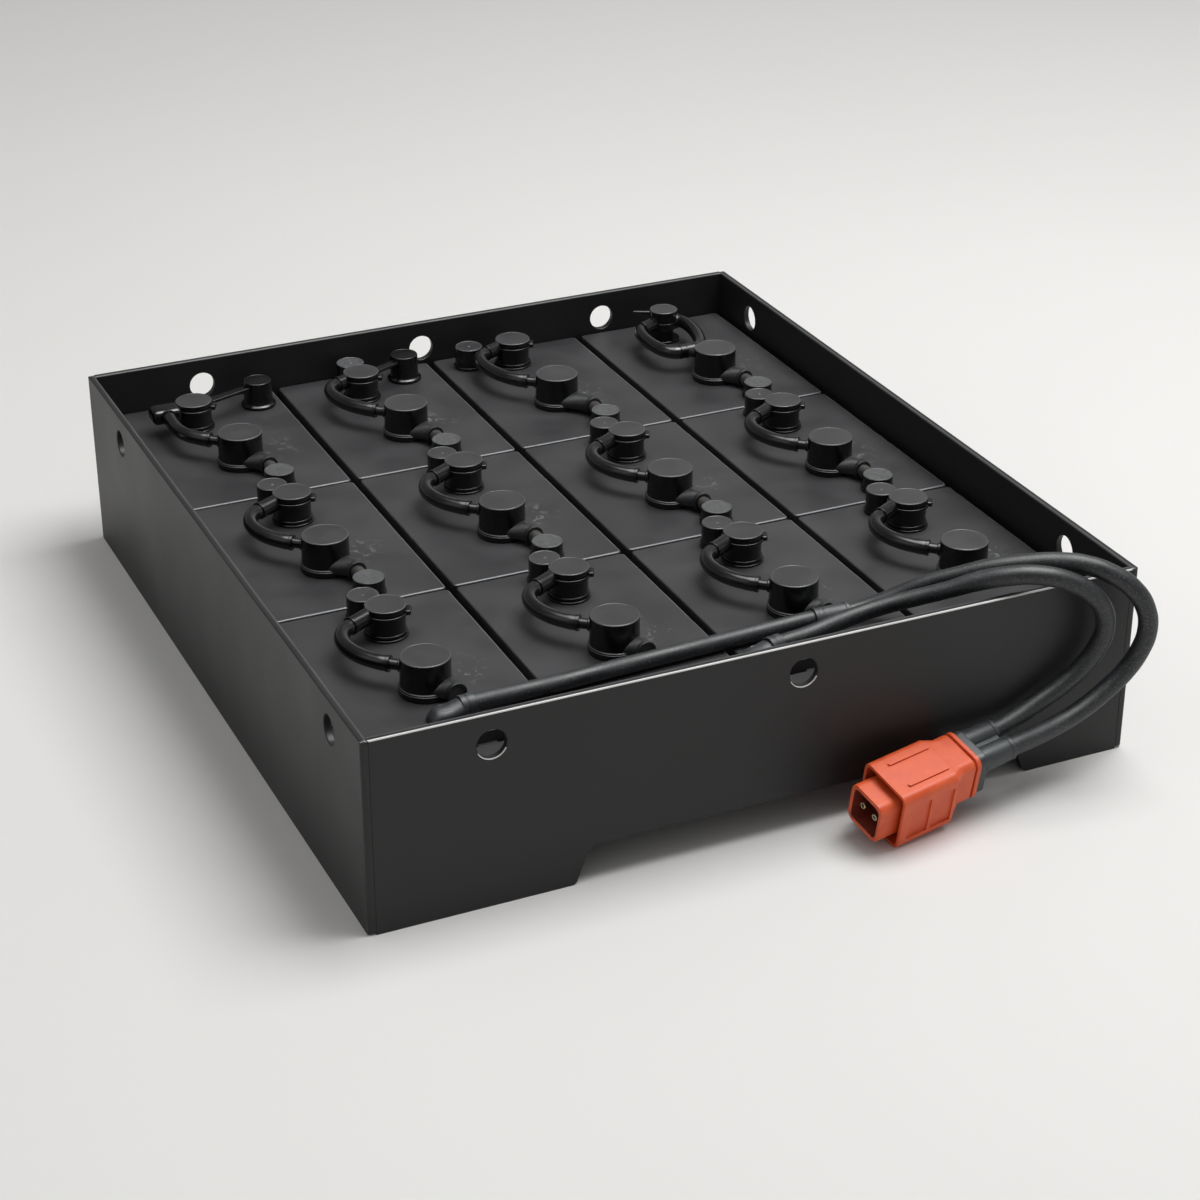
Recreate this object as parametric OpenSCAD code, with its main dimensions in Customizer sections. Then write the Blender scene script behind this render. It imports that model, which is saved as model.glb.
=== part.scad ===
// Pallet truck battery: twelve traction cells in an open steel tray,
// with capped poles, linked vent plugs and a two-cable charging lead.

/* [Cells] */
// Width of one cell, across the tray
cell_w = 154.5; // [150:0.5:160]
// Depth of one cell, along the tray
cell_d = 227; // [222:0.5:240]
// Height of one cell, from its base to the top of its lid
cell_h = 87; // [75:1:95]
// Radius of a cell's upright corners
cell_corner_r = 4; // [2:0.5:6]
// Radius of the edge round a cell's lid
lid_edge_r = 1.5; // [0.5:0.25:2.5]
// Gap between two columns of cells
col_gap = 4; // [2:0.5:8]
// Gap between two rows of cells
row_gap = 1.5; // [1:0.5:3]

/* [Packing boards] */
// Thickness of the board along the left wall
left_packer_t = 13; // [8:1:20]
// Thickness of the board along the front wall
front_packer_t = 37; // [30:1:45]
// Height of the packing boards
packer_h = 77; // [60:1:78]
// Gap on each side of a packing board
packer_fit = 0.5; // [0.2:0.1:1]
// Depth of the grooves in a packing board
packer_groove = 3; // [1:0.5:4]
// Distance from groove to groove in a packing board
packer_pitch = 30; // [25:1:40]
// Gap between the last column of cells and the right wall
right_gap = 4; // [1:0.5:8]
// Gap between the last row of cells and the back wall
back_gap = 1; // [0.5:0.5:4]

/* [Tray] */
// Thickness of the steel sheet
wall_t = 6; // [4:0.5:8]
// Height of the tray, from the ground to the rim
tray_h = 166; // [164:1:185]
// Height of the floor plate's underside above the ground
floor_z = 33; // [33:1:36]
// Thickness of the floor plate
floor_t = 5; // [3:0.5:6]
// Radius of the rim's edges
rim_r = 1.2; // [0.5:0.1:1.5]
// Radius of the tray's upright corners
corner_r = 2.5; // [1:0.25:3]
// Radius of a side wall's top corners
rim_corner_r = 3; // [1:0.5:6]
// Radius of a side wall's foot corners
foot_corner_r = 4.5; // [1:0.5:8]
// Radius of an end wall's edge at the welded seam
seam_r = 0.8; // [0.2:0.1:1.2]

/* [Lifting holes] */
// Diameter of a lifting hole
lift_d = 24; // [18:0.5:28]
// Distance of the lifting holes below the rim
lift_drop = 26; // [20:1:28]
// Chamfer at both ends of a lifting hole
lift_chamfer = 0.8; // [0.2:0.1:1.5]
// First and second hole of the front wall, from the left
front_holes = [101, 358]; // [60:1:620]
// Holes of the back wall, from the left
back_holes = [107, 328, 521]; // [60:1:620]
// Holes of the left wall, from the front
left_holes = [69, 630]; // [40:1:700]
// Holes of the right wall, from the front
right_holes = [96, 665]; // [40:1:700]

/* [Fork notch] */
// Foot left of the notch, at the ground
notch_left = 167; // [120:1:220]
// Foot right of the notch, at the ground
notch_right = 95; // [60:1:150]
// Height of the notch
notch_h = 32; // [20:1:32]
// How far the notch's sides lean in
notch_lean = 12; // [4:1:20]
// Radius of the notch's upper corners
notch_r = 8; // [3:1:12]
// Radius of the feet's corners at the notch
notch_foot_r = 5; // [2:0.5:8]

/* [Float valves] */
// Centre of the valve on its cell, from the middle and the front edge
valve_at = [-2, 74.5]; // [-20:0.5:120]
// Radius of the valve's cap
valve_r = 20; // [17:0.5:22]
// Height of the valve's cap above the lid
valve_h = 31.5; // [28:0.5:36]
// Radius of the valve's flange
valve_flange_r = 21.5; // [21:0.25:24]
// Height of the valve's flange
valve_flange_h = 7; // [4:0.5:8]
// Radius of the stem under the valve
valve_stem_r = 15; // [10:0.5:16]
// Radius of the spigot that the hose meets
spigot_r = 4.4; // [3.5:0.1:5]
// Distance from the valve's centre to the spigot's end
spigot_reach = 31.5; // [28:0.5:34]
// Direction of the spigot, from the right
spigot_turn = 139; // [130:1:145]
// Radius of the ring at the spigot's end
ferrule_r = 5.9; // [5.5:0.1:6.5]
// Radius of the ear's wide end
ear_r = 13; // [10:0.5:16]
// Height of the ear's wide end
ear_h = 12; // [9:0.5:14]
// Centre of the ear's collar on its cell
collar_at = [13, 47]; // [10:0.5:50]
// Centre of the ear's collar on a cell of the front row
front_collar_at = [12, 52]; // [8:0.5:54]
// Radius of the ear's collar
collar_r = 8.6; // [7.5:0.1:9]
// Length of the ear's collar
collar_l = 6; // [4:0.5:8]

/* [Vent plugs] */
// Centre of a vent plug on its cell, from the middle and the rear edge
vent_at = [3, 53]; // [-5:0.5:60]
// Radius of the vent plug's body
vent_r = 15.8; // [14:0.1:17]
// Radius of the collar round the vent plug
vent_collar_r = 18; // [17:0.25:20]
// Radius of the vent plug's lid
vent_lid_r = 16.8; // [15:0.1:18]
// Height of the vent plug above the cell's lid
vent_h = 27; // [25:0.5:32]
// Radius of the stem under the vent plug
vent_stem_r = 12; // [8:0.5:13]
// How far the collar's thumb tab stands out
tab_reach = 4.5; // [2:0.5:6]
// Radius of the hose sleeve where it leaves the vent plug
sleeve_r = 7; // [6:0.25:8]
// Radius of the hose sleeve at its end
sleeve_end_r = 6; // [5.5:0.25:6.5]
// Start of the hose sleeve, inside the vent plug's body, from the middle and the rear edge
sleeve_from = [-8, 52]; // [-10:0.5:60]
// End of the hose sleeve, from the middle and the rear edge
sleeve_to = [-31, 64.5]; // [-35:0.5:70]
// Height of the ring at the vent plug's base
vent_base_h = 2; // [1:0.25:3]
// Height of the gasket round the vent plug's foot
vent_foot_h = 5; // [3:0.25:7]
// Thickness of the vent plug's collar
vent_collar_t = 2.5; // [1.5:0.25:3.5]
// Thickness of the vent plug's lid
vent_lid_t = 5; // [3:0.25:6]
// Height of the groove between the vent plug's collar and its lid
vent_groove_h = 0.5; // [0.25:0.25:1]
// Width of the collar's thumb tab
tab_w = 10; // [6:0.5:14]
// Thickness of the collar's thumb tab
tab_t = 5; // [2.5:0.25:6]
// Direction of the thumb tab, from the right
tab_turn = -25; // [-60:1:30]
// Height of the ring at the hose sleeve's end
sleeve_ring = 0.6; // [0.3:0.1:1]
// Length of the stems in the cell's lid
stem_l = 8; // [6:0.5:12]
// Gap round each stem in the lid
seat_fit = 0.3; // [0.1:0.05:0.5]

/* [Hoses] */
// Radius of a hose
hose_r = 5.3; // [4.5:0.1:5.8]
// Height of the hoses above the lids
hose_z = 19.5; // [18:0.5:20]
// How far a hose keeps the sleeve's direction
sleeve_pull = 24; // [10:1:34]
// How far a hose keeps the spigot's direction
spigot_pull = 30; // [10:1:44]

/* [Pole caps] */
// Centre of a cell's rear pole, from the middle and the rear edge
rear_pole_at = [-4.5, 20.5]; // [-10:0.5:24]
// Centre of a cell's front pole
front_pole_at = [15, 17.5]; // [15:0.5:19]
// Radius of a pole cap
cap_r = 13.3; // [12:0.1:14]
// Height of a rear pole cap
rear_cap_h = 21.5; // [18:0.5:24]
// Height of a front pole cap
front_cap_h = 15; // [14.5:0.5:18]
// Radius of the skirt round a pole cap
skirt_r = 14.5; // [14:0.1:15.5]
// Height of the skirt round a pole cap
skirt_h = 3; // [2:0.5:4]
// Radius of a lead pole
pole_r = 8; // [6:0.25:8.5]
// Height of a lead pole above the lid
pole_h = 7; // [5:0.5:8]
// Depth of a lead pole in the lid
pole_depth = 14; // [10:1:20]
// Radius of the pole's bolt head, at its corners
bolt_r = 6.5; // [5:0.25:7]
// Height of the pole's bolt head
bolt_h = 4; // [3:0.25:5]
// Gap between a pole and its cap
pole_fit = 0.3; // [0.1:0.05:0.5]
// Radius of the link between two cells
link_r = 6; // [5:0.25:6.5]
// Radius of the stub that a front cap reaches into the ear's collar
stub_r = 6; // [5:0.25:6.5]

/* [Back row] */
// Centres of the back row's vent plugs, from each cell's middle and rear edge
back_vents = [[-16, 57], [-10.5, 56], [-7, 40], [-4, 42.5]]; // [-20:0.5:60]
// Starts of the hose sleeves on the second to the fourth of them
back_sleeves_from = [[-20, 54], [-18, 38], [-16, 46]]; // [-20:0.5:60]
// Ends of the back row's hose sleeves
back_sleeves_to = [[-44, 71], [-36, 61], [-38, 48], [-34, 56]]; // [-50:0.5:75]
// How far the eleventh cell's valve stands from the usual place
valve_shift = [-5, 5.5]; // [-8:0.5:8]
// Rear pole caps of the back row, each as cell index and place from the middle and the rear edge
back_caps = [[9, [-8, 19]], [10, [-48, 28]]]; // [-60:0.5:60]
// Length, width and height of the ninth vent plug's elbow
elbow_size = [22, 28, 14]; // [8:0.5:30]
// Radius and height of the tall vent plug's base
tall_base = [16, 2.5]; // [2:0.25:18]
// Radius of the tall vent plug's six-sided neck, at its corners
neck_r = 11.5; // [10:0.25:12.5]
// Height of the tall vent plug
tall_h = 32; // [30:0.5:36]
// Radius and height of the tall vent plug's head
tall_head = [14, 14]; // [12:0.25:16]
// Start and end of the tall vent plug's second sleeve, from the middle and the rear edge
right_sleeve = [[-1, 44], [9, 50]]; // [-10:0.5:60]
// Centre of the tee on the twelfth valve's spigot, from the middle and the front edge
tee_at = [-18, 104]; // [-24:0.5:124]
// Half the length of the tee
tee_half = 8; // [6:0.5:10]
// Direction of the tee, from the right
tee_turn = 2; // [0:1:10]
// How far the twelfth cell's hoses keep the sleeves' directions
tall_pull = 12; // [8:1:16]
// How far the left and the right of these hoses keep the tee's direction
tee_pulls = [20, 18]; // [10:1:24]
// Height of the tall vent plug's rod above the lid
rod_z = 27; // [24:0.5:29]
// Length of the rod, from the middle of the head
rod_l = 30; // [20:1:34]
// Radius of the rod at its root and its tip
rod_r = [2.6, 1.6]; // [1:0.1:3]
// Direction of the rod, from the right
rod_turn = 150; // [140:1:160]
// Centre of the side cap on the ninth and the tenth cell, from the middle and the rear edge
side_cap_at = [[53.5, 32], [42.5, 30]]; // [20:0.5:60]
// Height of the side caps
side_cap_h = 25.5; // [22:0.5:30]
// Radius of a side cap's flared base
side_base_r = 16.2; // [15:0.1:18]
// Width of the strap from the vent plug to the side cap
strap_w = 9; // [6:0.5:12]
// Thickness of the strap
strap_t = 3; // [2:0.25:4]

/* [Charging cables] */
// Radius of a cable
cable_r = 7; // [6.5:0.1:7.2]
// Gap between a cable and the boot that it enters
cable_fit = 0.3; // [0.2:0.05:0.5]
// Radius of the coupling sleeve on the outer cable
coupling_r = 8.7; // [8.2:0.1:9]
// Length of the coupling sleeve
coupling_l = 30; // [24:1:34]
// Radius of a lug boot's flat end
lug_r = 9.5; // [9:0.25:11]
// Height of a lug boot's flat end
lug_h = 12; // [11.5:0.5:13]
// Radius of a lug boot's cable socket
lug_socket_r = 8.4; // [8.2:0.1:8.5]
// Length of a lug boot's cable socket
lug_socket_l = 12; // [8:1:16]

/* [Charging plug] */
// Width of the plug's shell
shell_w = 51; // [46:0.5:54]
// Height of the plug's shell
shell_h = 55; // [50:0.5:58]
// Length of the plug's shell
shell_l = 60; // [54:1:66]
// Corner radius of the plug's shell
shell_r = 7; // [4:0.5:9]
// Wall of the plug's shell
shell_wall = 3; // [2.5:0.25:4]
// Depth of the ring-shaped gap round the plug's nose
shroud_depth = 30; // [20:1:34]
// Thickness of the shell's inner back wall
shell_back = 8; // [5:0.5:10]
// Width and height of the two ribs on top of the shell
rib_size = [3.2, 0.8]; // [0.5:0.1:4]
// Distance of the ribs from the shell's mouth and from its rear
rib_margins = [12, 8]; // [4:1:20]
// Length, height and depth of a recessed panel in the shell's sides
panel_size = [20, 34, 1.1]; // [0.5:0.1:40]
// Distance of the two panels from the shell's mouth
panels_at = [8, 31]; // [4:1:36]
// Height of the panels' middle below the shell's middle
panel_drop = 1; // [0:0.5:4]
// Width and height of the plug's nose
nose_w = 38; // [34:0.5:39]
// Corner radius of the plug's nose
nose_r = 8; // [4:0.5:10]
// How far the nose stands out of the shell
nose_reach = 16.5; // [10:0.5:20]
// Wall of the nose round its socket
nose_wall = 4; // [3:0.25:5]
// Depth of the nose's socket
nose_depth = 20; // [14:0.5:24]
// Diameter of a contact
contact_d = 6; // [4:0.25:7]
// Distance between the two contacts
contact_pitch = 14.5; // [13:0.5:16]
// Length of a contact inside the nose's socket
contact_reach = 12; // [8:0.5:14]
// Width and height of the shell's narrow rear end
rear_w = 42; // [38:0.5:44]
// Length of the shell's narrow rear end
rear_l = 14; // [10:0.5:18]
// How far the rear end sits above the shell's middle
rear_rise = 6; // [4:0.25:6.4]
// Width and height of the locking ring
ring_w = 43; // [40:0.5:44]
// Thickness of the locking ring
ring_t = 4; // [3:0.25:5]
// Thickness of the boot's plate
boot_plate_t = 8; // [6:0.5:10]
// Radius of a cable boot on the plug
boot_r = 10.3; // [9.5:0.1:10.3]
// Distance between the two cable boots' centres
boot_pitch = 21; // [21:0.25:22]
// Length of a cable boot on the plug
boot_l = 30; // [24:1:36]
// Depth of the cable socket in a boot
boot_depth = 17; // [12:1:22]
// Height of the boots above the shell's middle
boot_rise = 15; // [13:0.5:15]
// Heading, dip and roll of the plug as it lies
plug_turn = [189, 4.5, -14];
// Middle of the shell's mouth, from the tray's front left corner
plug_at = [407.5, -41]; // [-60:0.5:420]

/* [Hidden] */
$fn = 64;
cut = 1;
columns = 4;
rows = 3;

lid_z = floor_z + floor_t + cell_h;
cells_x = wall_t + 2 * packer_fit + left_packer_t;
cells_y = wall_t + 2 * packer_fit + front_packer_t;
tray_w = cells_x + columns * cell_w + (columns - 1) * col_gap + right_gap + wall_t;
tray_d = cells_y + rows * cell_d + (rows - 1) * row_gap + back_gap + wall_t;

// Points of the outer cable's middle line, from its lug to the plug, measured from the tray's front left corner
outer_route = [
    [104, 72, 133.5], [118, 73, 133.5], [150, 75, 132.5], [188, 76, 132.3],
    [222, 78, 132.3], [258, 80, 132.3], [302, 82, 132.3], [347, 84, 132.3],
    [380, 84, 133.3], [402, 83.5, 134.5], [450, 80.5, 135.5], [474, 72, 145],
    [497, 60, 158], [520, 46, 168], [543, 32, 176], [564, 19, 181],
    [585, 6, 184], [604, -6, 183], [622, -17, 176], [637, -26, 164],
    [647, -31, 147], [650, -32, 128], [646, -30, 109], [636, -27, 91],
    [620, -25, 76], [600, -25, 64], [578, -27, 57], [555, -31, 54],
    [528.9, -35.8, 52.8], [508.2, -39, 51.2]
];
// Points of the inner cable's middle line, from its lug to the plug, measured in the same way
inner_route = [
    [357, 57, 133.5], [371, 60, 133.5], [394, 61, 135], [418, 62, 139],
    [441, 60, 144], [463, 54, 150], [484, 44, 157], [503, 32, 165],
    [522, 20, 174], [541, 6, 181], [561, -6, 183], [583, -15, 177],
    [601, -20, 165], [613, -22, 149], [617, -21, 131], [613, -18, 113],
    [602, -15, 96], [585, -13, 82], [565, -12, 71], [545, -13, 62.5],
    [525.3, -15.7, 57.9], [504.6, -19, 56.2]
];
cable_sides = 12;
coupling_start = 9;

// Cells of the back row that carry something unlike the others
shifted_valve = 10;
tall_vent = 11;
elbow_vent = 8;
side_cells = [8, 9];

function column(i) = i % columns;
function row(i) = floor(i / columns);
function cell_x(i) = cells_x + (column(i) + 0.5) * cell_w + column(i) * col_gap;
function cell_y(i) = cells_y + row(i) * (cell_d + row_gap);
function unit(v) = v / norm(v);
function turned(a) = [cos(a), sin(a)];
function heading(v) = atan2(v.y, v.x);

function from_rear(p) = [p.x, cell_d - p.y];
function in_back_row(i) = row(i) == rows - 1;
function valve_spot(i) = i == shifted_valve ? valve_at + valve_shift : valve_at;
function vent_spot(i) = from_rear(in_back_row(i) ? back_vents[column(i)] : vent_at);
function sleeve_start(i) = from_rear(in_back_row(i) ? back_sleeves_from[column(i) - 1] : sleeve_from);
function sleeve_stop(i) = from_rear(in_back_row(i) ? back_sleeves_to[column(i)] : sleeve_to);
function sleeve_dir(i) = i == elbow_vent ? [0, -1] : unit(sleeve_stop(i) - sleeve_start(i));
function collar_spot(i) = row(i) == 0 ? front_collar_at : collar_at;
function spigot_end(i) = valve_spot(i) + spigot_reach * turned(spigot_turn);

// Places of the caps, each as [cell index, place on the cell]
rear_caps = concat(
    [for (i = [0 : 7]) [i, from_rear(rear_pole_at)]],
    [for (c = back_caps) [c[0], from_rear(c[1])]]
);
front_caps = [for (i = [4 : 11]) [i, front_pole_at]];
lug_spots = [[0, [-5, 27]], [2, [-67, 11.5]]];

module at_corner() {
    translate([-tray_w / 2, -tray_d / 2, 0]) children();
}

module on_cell(i, p = [0, 0]) {
    at_corner() translate([cell_x(i) + p.x, cell_y(i) + p.y, lid_z]) children();
}

module rounded_rect(w, h, r) {
    difference() {
        square([w, h]);
        for (x = [0, 1], y = [0, 1])
            translate([x * w, y * h]) mirror([x, 0]) mirror([0, y]) corner_cut(r);
    }
}

module corner_cut(r) {
    difference() {
        translate([-cut, -cut]) square(r + cut);
        translate([r, r]) circle(r);
    }
}

module centred_rect(w, h, r) {
    translate([-w / 2, -h / 2]) rounded_rect(w, h, r);
}

module side_profile() {
    difference() {
        square([tray_d, tray_h]);
        for (y = [0, 1]) {
            translate([y * tray_d, 0]) mirror([y, 0]) corner_cut(foot_corner_r);
            translate([y * tray_d, tray_h]) mirror([y, 0]) mirror([0, 1]) corner_cut(rim_corner_r);
        }
    }
}

module lift_hole() {
    translate([0, 0, -cut]) cylinder(h = wall_t + 2 * cut, d = lift_d);
    for (z = [0, 1])
        translate([0, 0, z * wall_t]) mirror([0, 0, z])
            translate([0, 0, -cut])
                cylinder(h = lift_chamfer + cut, d1 = lift_d + 2 * (lift_chamfer + cut), d2 = lift_d);
}

// A side wall, standing from the front face to the back face of the tray, its outside at x = 0
module side_wall(holes) {
    difference() {
        intersection() {
            rotate([90, 0, 90]) linear_extrude(wall_t) side_profile();
            linear_extrude(tray_h) difference() {
                square([wall_t, tray_d]);
                for (y = [0, 1]) translate([0, y * tray_d]) mirror([0, y]) corner_cut(corner_r);
            }
            translate([0, tray_d, 0]) rotate([90, 0, 0]) linear_extrude(tray_d) rim_profile();
        }
        for (y = holes)
            translate([0, y, tray_h - lift_drop]) rotate([0, 90, 0]) lift_hole();
    }
}

module rim_profile() {
    difference() {
        square([wall_t, tray_h]);
        for (x = [0, 1]) translate([x * wall_t, tray_h]) mirror([x, 0]) mirror([0, 1]) corner_cut(rim_r);
    }
}

// An end wall between the two side walls, its outside at y = 0
module end_wall(holes) {
    width = tray_w - 2 * wall_t;
    difference() {
        intersection() {
            translate([wall_t, 0, 0]) rotate([90, 0, 90]) linear_extrude(width) rim_profile();
            translate([wall_t, 0, 0]) linear_extrude(tray_h) difference() {
                square([width, wall_t]);
                for (x = [0, 1]) translate([x * width, 0]) mirror([x, 0]) corner_cut(seam_r);
            }
        }
        for (x = holes)
            translate([x, wall_t, tray_h - lift_drop]) rotate([90, 0, 0]) lift_hole();
        translate([0, wall_t + cut, 0]) rotate([90, 0, 0]) linear_extrude(wall_t + 2 * cut) notch_profile();
    }
}

module notch_profile() {
    right = tray_w - notch_right;
    slope = notch_lean / notch_h;
    for (side = [0, 1]) translate([side == 0 ? notch_left : right, 0]) mirror([side, 0]) notch_foot();
    difference() {
        polygon([
            [notch_left - slope * cut, -cut], [notch_left + notch_lean, notch_h],
            [right - notch_lean, notch_h], [right + slope * cut, -cut]
        ]);
        for (side = [0, 1])
            translate([side == 0 ? notch_left + notch_lean : right - notch_lean, notch_h])
                mirror([side, 0]) notch_corner();
    }
}

// What a rounded upper corner of the notch leaves standing, its corner at the origin
module notch_corner() {
    slope_angle = atan2(notch_h, notch_lean);
    reach = notch_r / tan((180 - slope_angle) / 2);
    foot = [-reach * cos(slope_angle), -reach * sin(slope_angle)];
    difference() {
        polygon([[-cut, cut], [reach, cut], [reach, 0], [reach, -notch_r], foot, foot + [-cut, 0]]);
        translate([reach, -notch_r]) circle(notch_r);
    }
}

// What a foot's rounded corner at the notch takes away, its corner at the origin
module notch_foot() {
    slope_angle = atan2(notch_h, notch_lean);
    reach = notch_foot_r / tan((180 - slope_angle) / 2);
    side = reach * [cos(slope_angle), sin(slope_angle)];
    difference() {
        polygon([[-reach, -cut], [-reach, 0], [-reach, notch_foot_r], side, [cut, 0], [0, -cut]]);
        translate([-reach, notch_foot_r]) circle(notch_foot_r);
    }
}

module tray_front_wall() {
    color("#2b2b2c") at_corner() end_wall(front_holes);
}

module tray_back_wall() {
    color("#2b2b2c") at_corner() translate([0, tray_d, 0]) mirror([0, 1, 0]) end_wall(back_holes);
}

module tray_left_wall() {
    color("#333333") at_corner() side_wall(left_holes);
}

module tray_right_wall() {
    color("#333333") at_corner() translate([tray_w, 0, 0]) mirror([1, 0, 0]) side_wall(right_holes);
}

module tray_floor() {
    color("#2b2b2c") at_corner() translate([wall_t, wall_t, floor_z])
        cube([tray_w - 2 * wall_t, tray_d - 2 * wall_t, floor_t]);
}

// A board with upright grooves in the face that meets the cells
module packing_board(l, t) {
    grooves = floor((l - packer_pitch) / packer_pitch);
    difference() {
        cube([l, t, packer_h]);
        for (k = [1 : grooves])
            translate([k * l / (grooves + 1) - packer_pitch / 4, t - packer_groove, -cut])
                cube([packer_pitch / 2, packer_groove + cut, packer_h + 2 * cut]);
    }
}

module packing_boards() {
    board_z = floor_z + floor_t;
    color("#4a4b4c") at_corner() {
        translate([wall_t + packer_fit, wall_t + packer_fit, board_z])
            packing_board(tray_w - 2 * wall_t - 2 * packer_fit, front_packer_t);
        translate([wall_t + packer_fit, tray_d - wall_t - packer_fit, board_z]) rotate([0, 0, -90])
            packing_board(tray_d - cells_y - wall_t - packer_fit, left_packer_t);
    }
}

// A sealed cell: jar and welded lid in one, with a blind seat for each stem and pole
module cell(i) {
    color("#39393a") difference() {
        on_cell(i) translate([-cell_w / 2, 0, -cell_h]) intersection() {
            linear_extrude(cell_h) rounded_rect(cell_w, cell_d, cell_corner_r);
            translate([0, cell_d, 0]) rotate([90, 0, 0]) linear_extrude(cell_d) lid_profile(cell_w);
            rotate([90, 0, 90]) linear_extrude(cell_w) lid_profile(cell_d);
        }
        on_cell(i, valve_spot(i)) seat(valve_stem_r + seat_fit, stem_l + seat_fit);
        on_cell(i, vent_spot(i)) seat(vent_stem_r + seat_fit, stem_l + seat_fit);
        for (p = poles_of(i)) on_cell(i, p) seat(pole_r + seat_fit, pole_depth + seat_fit);
    }
}

module lid_profile(w) {
    difference() {
        square([w, cell_h]);
        for (x = [0, 1]) translate([x * w, cell_h]) mirror([x, 0]) mirror([0, 1]) corner_cut(lid_edge_r);
    }
}

module seat(r, depth) {
    translate([0, 0, -depth]) cylinder(h = depth + cut, r = r);
}

function poles_of(i) = concat(
    [for (c = rear_caps) if (c[0] == i) c[1]],
    [for (c = front_caps) if (c[0] == i) c[1]],
    [for (k = [0, 1]) if (side_cells[k] == i) from_rear(side_cap_at[k])],
    [for (c = lug_spots) if (c[0] == i) c[1]]
);

// A turned cap on a wider foot, its top edge rounded
module turned_cap(r, h, foot_r, foot_h, edge) {
    rotate_extrude() {
        square([foot_r, foot_h]);
        difference() {
            square([r, h]);
            translate([r, h]) mirror([1, 0]) mirror([0, 1]) corner_cut(edge);
        }
    }
}

module float_valve(i) {
    spot = valve_spot(i);
    collar = collar_spot(i);
    aim = i == tall_vent ? heading(tee_at - spot) : spigot_turn;
    reach = i == tall_vent ? norm(tee_at - spot) : spigot_reach;
    color("#1b1c1d") difference() {
        union() {
            on_cell(i, spot) {
                turned_cap(valve_r, valve_h, valve_flange_r, valve_flange_h, 1);
                translate([0, 0, -stem_l]) cylinder(h = stem_l + cut, r = valve_stem_r);
                translate([0, 0, hose_z]) rotate([0, 0, aim]) rotate([0, 90, 0]) {
                    cylinder(h = reach, r = spigot_r);
                    if (i != tall_vent) translate([0, 0, reach - 3]) cylinder(h = 3, r = ferrule_r);
                }
            }
            if (i == tall_vent)
                on_cell(i, tee_at) translate([0, 0, hose_z]) rotate([0, 0, tee_turn]) rotate([0, 90, 0])
                    cylinder(h = 2 * tee_half, r = ferrule_r, center = true);
            ear(i, spot, collar);
        }
        on_cell(i, collar) collar_turn(i) translate([0, 0, collar_l - 4]) cylinder(h = 4 + cut, r = stub_r + cable_fit);
    }
}

// Direction from the ear's collar to the cell's front pole
module collar_turn(i) {
    translate([0, 0, collar_r]) rotate([0, 0, heading(front_pole_at - collar_spot(i))]) rotate([0, 90, 0]) children();
}

module ear(i, spot, collar) {
    hull() {
        on_cell(i, spot + 9 * unit(collar - spot)) cylinder(h = ear_h, r = ear_r, $fn = 32);
        on_cell(i, collar) collar_turn(i) cylinder(h = 1, r = collar_r - 0.6, $fn = 32);
    }
    on_cell(i, collar) collar_turn(i) cylinder(h = collar_l, r = collar_r);
}

module vent_plug(i) {
    spot = vent_spot(i);
    color("#1b1c1d") {
        on_cell(i, spot) {
            translate([0, 0, -stem_l]) cylinder(h = stem_l + cut, r = vent_stem_r);
            if (i == tall_vent) tall_body();
            else vent_body();
        }
        if (i == elbow_vent) elbow_block(i);
        else sleeve(i, sleeve_start(i), sleeve_stop(i));
        if (i == tall_vent) {
            sleeve(i, from_rear(right_sleeve[0]), from_rear(right_sleeve[1]));
            rod(i, spot);
        }
    }
}

module vent_body() {
    body_h = vent_h - vent_lid_t - vent_groove_h;
    rotate_extrude() {
        square([vent_collar_r, vent_base_h]);
        square([vent_r + 1, vent_foot_h]);
        square([vent_r, body_h]);
        translate([0, body_h - vent_collar_t]) square([vent_collar_r, vent_collar_t]);
        square([vent_lid_r - 2, vent_h - cut]);
        difference() {
            translate([0, vent_h - vent_lid_t]) square([vent_lid_r, vent_lid_t]);
            translate([vent_lid_r, vent_h]) mirror([1, 0]) mirror([0, 1]) corner_cut(1);
        }
    }
    rotate([0, 0, tab_turn]) translate([0, -tab_w / 2, body_h - vent_collar_t])
        cube([vent_collar_r + tab_reach, tab_w, tab_t]);
}

// The last cell's vent plug: a tall head on a narrow six-sided neck
module tall_body() {
    head_z = tall_h - tall_head[1];
    cylinder(h = tall_base[1], r = tall_base[0]);
    cylinder(h = head_z + cut, r = neck_r, $fn = 6);
    translate([0, 0, head_z]) rotate_extrude() difference() {
        square(tall_head);
        translate(tall_head) mirror([1, 0]) mirror([0, 1]) corner_cut(1);
    }
}

module rod(i, spot) {
    on_cell(i, spot) translate([0, 0, rod_z]) rotate([0, 0, rod_turn]) rotate([0, 90, 0])
        cylinder(h = rod_l, r1 = rod_r[0], r2 = rod_r[1]);
}

module sleeve(i, start, stop) {
    length = norm(stop - start);
    on_cell(i, start) translate([0, 0, hose_z]) rotate([0, 0, heading(stop - start)]) rotate([0, 90, 0]) {
        cylinder(h = length, r1 = sleeve_r, r2 = sleeve_end_r);
        translate([0, 0, length - 2]) cylinder(h = 2, r = sleeve_end_r + sleeve_ring);
    }
}

module elbow_block(i) {
    on_cell(i, sleeve_stop(i)) translate([-elbow_size.y / 2, 0, hose_z - elbow_size.z / 2])
        cube([elbow_size.y, elbow_size.x, elbow_size.z]);
}

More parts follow.
